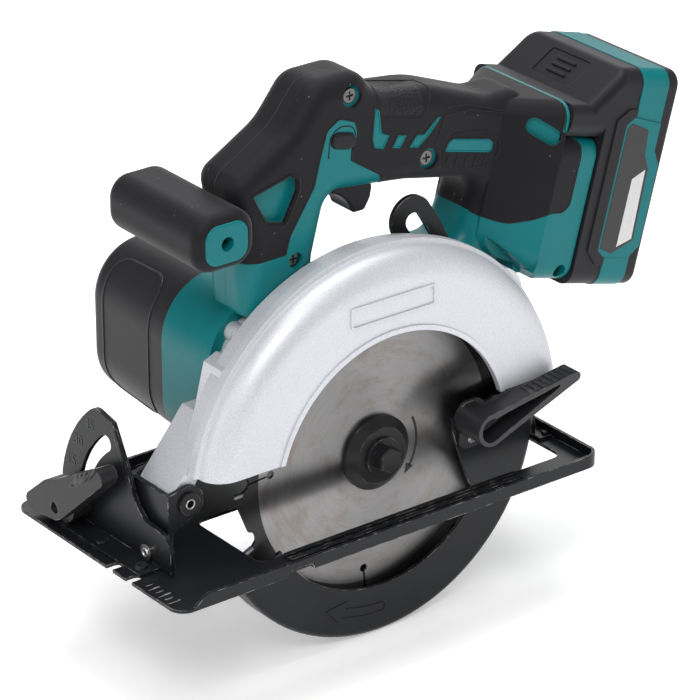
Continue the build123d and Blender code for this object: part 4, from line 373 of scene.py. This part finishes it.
ink = finish("ink", (0.012, 0.012, 0.012), 0.5)
# dark matt beads: painted shade standing in for the shade inside grooves and beside raised
# outlines; along shut lines they are also the dark joint itself
painted_shade_and_joint = finish("painted_shade_and_joint", (0.006, 0.0055, 0.007), 0.75)
raised_black = finish("raised_black", (0.016, 0.016, 0.019), 0.40)
sticker_black = finish("sticker_black", (0.012, 0.012, 0.014), 0.26, 0.02)
sticker_white = finish("sticker_white", (0.78, 0.78, 0.78), 0.30, 0.02)


def show(obj, body, material):
    """Gives a piece its material and lets it ride on a body."""
    obj.data.materials.clear()
    obj.data.materials.append(material)
    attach(obj, body)


def mesh_object(name, points, faces):
    """Object from points in metres and faces."""
    mesh = bpy.data.meshes.new(name)
    mesh.from_pydata(points, [], faces)
    mesh.update()
    obj = bpy.data.objects.new(name, mesh)
    scene.collection.objects.link(obj)
    return obj


def polar(radius, degree):
    """Point on a circle, in the radius's own unit."""
    turn = math.radians(degree)
    return radius * math.cos(turn), radius * math.sin(turn)


def plate(name, body, outline, place, thick, material):
    """Thin plate: place(a, b, height) puts an outline point in space."""
    low = [place(a * MM, b * MM, 0.0) for a, b in outline]
    high = [place(a * MM, b * MM, thick) for a, b in outline]
    count = len(outline)
    faces = [list(range(count)), list(range(2 * count - 1, count - 1, -1))]
    faces += [[i, i + count, (i + 1) % count + count, (i + 1) % count] for i in range(count)]
    show(mesh_object(name, low + high, faces), body, material)


def on_node(node, start, direction):
    """First point of a node's surface, and its normal, along a line from start; node is a name
    or a tuple of names."""
    hits = []
    for name in (node,) if isinstance(node, str) else node:
        found, spot, normal, _ = nodes[name].ray_cast(start, direction)
        if found:
            hits.append((spot, normal))
    return min(hits, key=lambda hit: (hit[0] - start).length) if hits else None


def inset(outline, by):
    """Closed outline moved inwards by a distance, or outwards where it is negative."""
    count = len(outline)
    turns = sum(outline[i - 1][0] * outline[i][1] - outline[i][0] * outline[i - 1][1]
                for i in range(count))
    side = by if turns > 0 else -by
    moved = []
    for i in range(count):
        here = Vector(outline[i])
        a = (here - Vector(outline[i - 1])).normalized()
        b = (Vector(outline[(i + 1) % count]) - here).normalized()
        bisector = (Vector((-a.y, a.x)) + Vector((-b.y, b.x))).normalized()
        reach = side / max(0.5, bisector.dot(Vector((-a.y, a.x))))
        moved.append(here + bisector * reach)
    return moved


def line(name, body, points, radius, material, closed=False):
    """Fine bead through points in metres: half of it stands in the surface."""
    curve = bpy.data.curves.new(name, "CURVE")
    curve.dimensions = "3D"
    curve.bevel_depth = radius
    curve.bevel_resolution = 1
    spline = curve.splines.new("POLY")
    spline.points.add(len(points) - 1)
    for target, point in zip(spline.points, points):
        target.co = (*point, 1.0)
    spline.use_cyclic_u = closed
    obj = bpy.data.objects.new(name, curve)
    scene.collection.objects.link(obj)
    show(obj, body, material)


def rounded(corners, radius, closed):
    """Corner points with each corner rounded, radius in the corners' own unit."""
    points = []
    count = len(corners)
    for i, corner in enumerate(corners):
        here = Vector(corner)
        if not closed and i in (0, count - 1):
            points.append(here)
            continue
        before = Vector(corners[i - 1]) - here
        after = Vector(corners[(i + 1) % count]) - here
        reach = min(radius, 0.45 * before.length, 0.45 * after.length)
        a = here + before.normalized() * reach
        b = here + after.normalized() * reach
        for step in range(5):
            t = step / 4
            points.append((1 - t) ** 2 * a + 2 * t * (1 - t) * here + t * t * b)
    return points


def drape(node, path, frame_of, closed):
    """Path in a flat frame, laid on a node's surface.  frame_of(a, b) gives the start and the
    direction of the line that looks for the surface."""
    points = []
    count = len(path)
    for i in range(count if closed else count - 1):
        a, b = Vector(path[i]), Vector(path[(i + 1) % count])
        steps = max(1, int((b - a).length / 1.5))
        for step in range(steps):
            points.append(a + (b - a) * step / steps)
    if not closed:
        points.append(Vector(path[-1]))
    found = [on_node(node, *frame_of(point.x * MM, point.y * MM)) for point in points]
    return [hit[0] for hit in found if hit]


def from_blade_side(a, b):
    """Looks along +Y at x = a, z = b."""
    return Vector((a, -0.3, b)), Vector((0, 1, 0))


def from_above(a, b):
    """Looks down and away from the blade at 45 degrees; b is measured up across that line."""
    root = math.sqrt(0.5)
    return Vector((a, b * root - 0.3 * root, b * root + 0.3 * root)), Vector((0, root, -root))


def from_front(a, b):
    """Looks along +X at y = a, z = b."""
    return Vector((-0.4, a, b)), Vector((1, 0, 0))


LEFT_RUBBER = "grip_overmold_left"


def groove(name, corners, radius=3.0, closed=True, node=LEFT_RUBBER, look=from_blade_side,
           thick=0.38, material=painted_shade_and_joint):
    """Fine line along the housing's surface, seen from one side; sizes in millimetres.  Its
    default dark colour is painted shade of a groove, or the dark joint itself along a shut line.
    """
    path = rounded(corners, radius, closed)
    line(name, "saw_housing", drape(node, path, look, closed), thick * MM, material, closed)


# handle: frame round the label field, ribs below it, flowing line above, pad on top; the lines'
# dark colour is painted groove shade
LABEL_FRAME = [(50.6, 159.6), (56.4, 170.2), (76.6, 167.4), (85.4, 161.5), (85.2, 154.5),
               (80.5, 149.2), (71.0, 149.4), (53.4, 154.0)]
groove("label_frame_line", LABEL_FRAME, 4.0)
for number in range(5):
    top_x, top_z = 54.6 + 5.7 * number, 159.8 - 1.4 * number
    groove(f"grip_rib_{number}", [(top_x, top_z), (top_x - 1.9, top_z - 4.6)], closed=False,
           thick=0.55)
groove("handle_line_upper", [(47.0, 167.4), (51.2, 178.5), (53.4, 184.6),
                             (68.0, 181.9), (89.0, 173.8)], 4.0, closed=False)
groove("handle_line_lower", [(52.0, 181.0), (68.0, 179.8), (89.0, 173.0)], 3.0, closed=False)
PAD = [(13.0, 142.5), (39.0, 137.8), (47.0, 149.0), (46.0, 166.0), (15.0, 168.0)]
groove("pad_line", PAD, 3.0, look=from_above)
groove("lock_surround_line", [(-16.5, 176.0), (-15.5, 186.6), (-10.0, 190.6), (-2.2, 188.8),
                              (-0.5, 184.0)], 3.0, closed=False, node="clamshell_left",
       thick=0.3)


# handle: coloured windows with a raised lip inside a shut line, and the edge of the rubber
WINDOWS = [
    [(10.5, 194.6), (13.5, 193.1), (14.8, 181.3), (19.5, 179.0), (15.6, 172.6), (10.0, 174.6),
     (8.9, 179.3)],
    [(24.2, 178.0), (29.9, 176.6), (25.5, 170.6), (20.4, 172.1)],
    [(48.0, 181.4), (50.4, 180.6), (43.5, 173.5), (36.2, 168.2), (30.5, 169.9), (35.5, 175.4),
     (39.7, 174.6)],
    [(57.3, 168.0), (79.3, 162.5), (82.1, 160.1), (81.3, 155.8), (78.8, 155.2), (51.3, 162.4),
     (54.8, 167.0)],
]
SKINS = (LEFT_RUBBER, "clamshell_left")
for number, outline in enumerate(WINDOWS):
    groove(f"window_lip_{number}", inset(outline, 0.75), 0.8, node=SKINS, thick=0.45,
           material=materials["teal_plastic"])
    groove(f"window_edge_{number}", inset(outline, -0.1), 0.6, node=SKINS, thick=0.3)
RUBBER_EDGES = {
    "front": [(-41.5, 134.5), (-38.9, 143), (-24.9, 164), (-20.9, 178.5), (-17.3, 190),
              (-10, 194.4), (-0.8, 190.8), (0.9, 184), (-2.6, 178), (-3.2, 172), (14.2, 160.2),
              (20.2, 145.8)],
    "rear": [(66, 130.0), (73.2, 124.2), (81, 120.8), (85.4, 119.6), (94.6, 121.0), (102.7, 123.9),
             (110.5, 122.3), (114.9, 125.2), (122.8, 154.4), (110.9, 163.8), (118, 192)],
}
for end, outline in RUBBER_EDGES.items():
    groove(f"rubber_edge_{end}", outline, 2.0, closed=False, node=SKINS, thick=0.3)
LIP = [(-60.5, 168.7), (-37.9, 173.9), (-33.3, 171.3), (-33.3, 164.1), (-41.6, 149.0),
       (-52.0, 152.0)]
groove("recess_lip", LIP, 2.0, thick=0.5, material=materials["black_rubber"])


def patch(name, low_left, low_right, high_right, high_left, look, lift, material, node, body):
    """Grid laid over a surface between four corners given in a flat frame."""
    across, along = 26, 22
    points = []
    for j in range(along + 1):
        for i in range(across + 1):
            u, v = i / across, j / along
            a = Vector(low_left).lerp(Vector(low_right), u)
            b = Vector(high_left).lerp(Vector(high_right), u)
            spot = a.lerp(b, v)
            hit = on_node(node, *look(spot.x * MM, spot.y * MM))
            points.append(hit[0] + hit[1] * lift * MM if hit else None)
    keep = {index: order for order, index in
            enumerate(i for i, point in enumerate(points) if point is not None)}
    faces = []
    for j in range(along):
        for i in range(across):
            corner = j * (across + 1) + i
            face = [corner, corner + 1, corner + across + 2, corner + across + 1]
            if all(index in keep for index in face):
                faces.append([keep[index] for index in face])
    obj = mesh_object(name, [point for point in points if point is not None], faces)
    for face in obj.data.polygons:
        face.use_smooth = True
    show(obj, body, material)


def pebbled_rubber():
    """Handle pad with a pressed cell pattern."""
    s = Shader("pebbled_rubber")
    cells = s.add("ShaderNodeTexVoronoi")
    cells.inputs["Scale"].default_value = 640
    s.link(s.coords(), "Object", cells, "Vector")
    blotch = s.noise(24, 3)
    s.feed("Base Color", s.mix(blotch, (0.009, 0.0085, 0.0105), (0.015, 0.0135, 0.017)))
    s.set("Roughness", 0.5)
    s.set("Specular IOR Level", 0.16)
    s.set("Sheen Weight", 0.12)
    s.bump([((cells, 0), 0.6, 0.0005)], 0.0003)
    return s.material


patch("handle_pad", (14.2, 143.6), (38.4, 139.2), (45.4, 166.5), (16.0, 167.4), from_above, 0.12,
      pebbled_rubber(), LEFT_RUBBER, "saw_housing")

# motor cap: raised outline on the front face
groove("cap_outline", [(75, 35), (116, 37), (116, 104), (75, 106)], 9.0, node="motor_cap",
       look=from_front, thick=0.6, material=raised_black)


# blade: arrow for the direction of turning
def on_blade(a, b, height):
    """Maps a point round the arbor and a height to space, on the blade's near side."""
    return Vector((a, BLADE_FACE - height, b)) + Vector((0, 0, ARBOR.z))


ARROW_R = 25.8
ARROW_HALF = 0.7                         # half the width of the arrow's line
ARROW_TURNS = range(-34, 27, 4)          # degrees that the line covers
HEAD_HALF = 2.6
HEAD_ROOT, HEAD_TIP = -32, -44
INK = 0.05 * MM                          # thickness of the print
arrow = [polar(ARROW_R + ARROW_HALF, degree) for degree in ARROW_TURNS]
arrow += [polar(ARROW_R - ARROW_HALF, degree) for degree in reversed(ARROW_TURNS)]
plate("blade_arrow", "blade_and_spindle", arrow, on_blade, INK, ink)
head = [polar(ARROW_R, HEAD_TIP)]
head += [polar(ARROW_R + side, HEAD_ROOT) for side in (HEAD_HALF, -HEAD_HALF)]
plate("blade_arrow_head", "blade_and_spindle", head, on_blade, INK, ink)


# lower guard: raised outline of a curved arrow near its lowest point, drawn as dark lines whose
# colour is painted shade
def on_lower_guard(corners):
    """Points of the lower guard's near face, from radii in mm and degrees round the arbor."""
    flat = [polar(radius * MM, degree) for radius, degree in corners]
    return [Vector((a, LOWER_FACE, b + ARBOR.z)) for a, b in flat]


SWEEP_R = 80.5
BARB_HALF, SHAFT_HALF = 6.0, 2.4
TIP, BARB, NECK, TAIL = -115.5, -107.5, -107.0, -91.0      # degrees along the arrow
TAIL_ROUND = 1.7                         # degrees that SHAFT_HALF takes up at this radius
SIDE_STEPS = [2.0 * step for step in range(9)]
barb = [(SWEEP_R + BARB_HALF, BARB), (SWEEP_R, TIP), (SWEEP_R - BARB_HALF, BARB)]
line("guard_arrow_head", "guard", on_lower_guard(barb), 0.45 * MM, painted_shade_and_joint)
shaft = [(SWEEP_R + SHAFT_HALF, NECK + step) for step in SIDE_STEPS]
for degree in range(30, 151, 30):
    turn = math.radians(degree)
    shaft.append((SWEEP_R + SHAFT_HALF * math.cos(turn), TAIL + TAIL_ROUND * math.sin(turn)))
shaft += [(SWEEP_R - SHAFT_HALF, TAIL - step) for step in SIDE_STEPS]
line("guard_arrow_shaft", "guard", on_lower_guard(shaft), 0.4 * MM, painted_shade_and_joint)

# bright rims of the two hollow pivot pins, where the paint is rubbed off
rubbed_steel = turned_metal("rubbed_steel", (0.82, 0.81, 0.79), rough=0.25)


def rim(name, body, centre, radius, axis, thick):
    """Ring bead round an axis, X or Y."""
    points = []
    for step in range(24):
        a, b = polar(radius, 15 * step)
        points.append(centre + (Vector((a, 0, b)) if axis == "Y" else Vector((0, a, b))))
    line(name, body, points, thick, rubbed_steel, closed=True)


near_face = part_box("depth_pivot_pin")[0][1]
rim("depth_pin_rim", "carrier", Vector((DEPTH_PIVOT[0], near_face, DEPTH_PIVOT[1])),
    2.25 * MM, "Y", 0.35 * MM)
front_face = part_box("bevel_pins")[0][0]
rim("bevel_pin_rim", "carrier", Vector((front_face, *BEVEL_AXIS)), 2.0 * MM, "X", 0.55 * MM)

# base: pale paint left in the marks of the front edge
mark_paint = finish("mark_paint", (0.42, 0.42, 0.41), 0.5)
MARKS_X = -136.0 * MM
FIRST_MARK, MARK_STEP = -8.0, -4.0       # Y of the marks
MARK_LENGTHS = (4.5, 7.0)                # by turns
MARK_END = 0.4                           # bare at each end of a mark
ABOVE_BASE = 50 * MM
for number in range(6):
    reach = (MARK_LENGTHS[number % 2] / 2 - MARK_END) * MM
    middle = Vector((MARKS_X, (FIRST_MARK + MARK_STEP * number) * MM, ABOVE_BASE))
    ends = [on_node("base_plate", middle + Vector((side * reach, 0, 0)), Vector((0, 0, -1)))
            for side in (-1, 1)]
    if all(ends):
        line(f"scale_mark_{number}", "base", [end[0] for end in ends], 0.3 * MM, mark_paint)


# battery: dark field on both side panels and a bare light block on it
def pack_side(sign):
    """Maps (u, w) of the leaning pack and a height to space, on one of its sides."""
    def place(u, w, height):
        x = PACK_ORIGIN[0] + u * math.sin(PACK_LEAN) + w * math.cos(PACK_LEAN)
        z = PACK_ORIGIN[1] + u * math.cos(PACK_LEAN) - w * math.sin(PACK_LEAN)
        return Vector((x, HANDLE_Y + sign * (PANEL_FACE + height), z))
    return place


# outlines as (u, w) in millimetres: u along the battery, w through its thickness
FIELD = [(28.2, -29.4), (30.0, -26.5), (27.1, -15.5), (14.0, -13.8), (7.3, -9.8), (-29.1, -8.8),
         (-36.0, -21.4), (-33.8, -29.4)]
BLOCK = [(7.0, -11.6), (2.0, -19.0), (-32.6, -19.0), (-28.4, -10.2)]
for side, sign in (("near", -1), ("far", 1)):
    plate(f"battery_field_{side}", "battery", FIELD, pack_side(sign), 0.16 * MM, sticker_black)
    plate(f"battery_block_{side}", "battery", BLOCK, pack_side(sign), 0.24 * MM, sticker_white)

# bevel quadrant: raised numbers on its front face
NUMBER_R = 66.2 * MM


def number_on_quadrant(text, degree):
    """Upright number whose middle lies on an arc round the tilting axis."""
    across, up = polar(NUMBER_R, degree)
    curve = bpy.data.curves.new(f"bevel_number_{text}", "FONT")
    curve.body = text
    curve.size = 7.5 * MM
    curve.extrude = 0.12 * MM
    curve.align_x = "CENTER"
    curve.align_y = "CENTER"
    obj = bpy.data.objects.new(curve.name, curve)
    scene.collection.objects.link(obj)
    obj.location = (QUADRANT_X, BEVEL_AXIS[0] + across, BEVEL_AXIS[1] + up)
    obj.rotation_euler = (math.radians(90), 0, math.radians(-90))
    show(obj, "base", raised_black)


for text, degree in (("45", 46.0), ("30", 32.5), ("15", 20.5)):
    number_on_quadrant(text, degree)


# ---------------------------------------------------------------- light, floor, camera
def area_light(name, place, target, width, height, power):
    """Soft lamp of a width and a height in metres, turned to its target."""
    data = bpy.data.lights.new(name, "AREA")
    data.shape = "RECTANGLE"
    data.size = width
    data.size_y = height
    data.energy = power
    lamp = bpy.data.objects.new(name, data)
    scene.collection.objects.link(lamp)
    lamp.location = place
    lamp.rotation_euler = (Vector(target) - Vector(place)).to_track_quat("-Z", "Y").to_euler()


centre = (rest_bounds[0][0] + rest_bounds[1][0]) / 2, (rest_bounds[0][1] + rest_bounds[1][1]) / 2
floor_z = rest_bounds[0][2] - 0.2 * MM
FLOOR_GLOW = 0.36                        # the paper's own light, which keeps it pale
WHITE_FROM = 0.40                        # metres from the middle where it starts to turn white
WHITE_RATE = 1.2                         # strength gained in each metre from there

bpy.ops.mesh.primitive_plane_add(size=14, location=(centre[0], centre[1], floor_z))
floor = bpy.context.object
floor.name = "floor"
paper = Shader("floor_paper")
paper.feed("Base Color", paper.mix(paper.noise(3, 2), (0.93, 0.93, 0.93), (0.95, 0.95, 0.95)))
paper.set("Roughness", 0.95)
paper.set("Specular IOR Level", 0.0)
paper.set("Emission Color", (1, 1, 1, 1))
# the camera sees the paper turn to plain white away from the object
spread = paper.add("ShaderNodeVectorMath", operation="LENGTH")
paper.link(paper.coords(), "Object", spread, 0)
beyond = paper.math("SUBTRACT", (spread, "Value"), WHITE_FROM)
whiter = paper.math("MULTIPLY", beyond, WHITE_RATE, clamp=True)
seen = paper.add("ShaderNodeLightPath")
whiter = paper.math("MULTIPLY", whiter, (seen, "Is Camera Ray"))
paper.feed("Emission Strength", paper.math("ADD", whiter, FLOOR_GLOW))
floor.data.materials.append(paper.material)

area_light("key", (-1.0, -1.1, 1.7), (0, 0, 0.08), 0.9, 0.8, 20)
area_light("top", (0.2, 0.3, 1.9), (0, 0, 0.1), 1.4, 1.1, 25)
area_light("fill", (1.5, -1.4, 0.6), (0, 0, 0.08), 0.9, 1.0, 3)
area_light("left", (-1.9, 0.3, 0.8), (0, 0, 0.1), 0.8, 1.0, 5)
area_light("back", (1.4, 1.8, 1.1), (0, 0, 0.1), 1.7, 1.1, 11)

world = bpy.data.worlds.new("studio")
scene.world = world
world.use_nodes = True
tree = world.node_tree
tree.nodes.clear()
out = tree.nodes.new("ShaderNodeOutputWorld")
mix = tree.nodes.new("ShaderNodeMixShader")
path = tree.nodes.new("ShaderNodeLightPath")
tree.links.new(path.outputs["Is Camera Ray"], mix.inputs[0])
AMBIENT, PLAIN_WHITE = 0.28, 1.0         # on the object, and seen behind it
for slot, strength in ((1, AMBIENT), (2, PLAIN_WHITE)):
    background = tree.nodes.new("ShaderNodeBackground")
    background.inputs["Color"].default_value = (1, 1, 1, 1)
    background.inputs["Strength"].default_value = strength
    tree.links.new(background.outputs[0], mix.inputs[slot])
tree.links.new(mix.outputs[0], out.inputs[0])

scene.view_settings.view_transform = "Standard"

AZIMUTH = math.radians(-37.533)
ELEVATION = math.radians(25.225)
DISTANCE = 1.8999
SENSOR, LENS = 36.0, 205.038             # mm
SHIFT = (-10.84 * MM, 47.77 * MM)      # arbor to picture centre, along the picture
right = Vector((math.cos(AZIMUTH), math.sin(AZIMUTH), 0))
back = Vector((math.sin(AZIMUTH) * math.cos(ELEVATION), -math.cos(AZIMUTH) * math.cos(ELEVATION),
               math.sin(ELEVATION)))
up = back.cross(right)
camera_data = bpy.data.cameras.new("camera")
camera_data.sensor_width = SENSOR
camera_data.lens = LENS
camera = bpy.data.objects.new("camera", camera_data)
scene.collection.objects.link(camera)
camera.location = ARBOR + back * DISTANCE + right * SHIFT[0] + up * SHIFT[1]
camera.rotation_euler = back.to_track_quat("Z", "Y").to_euler()
scene.camera = camera
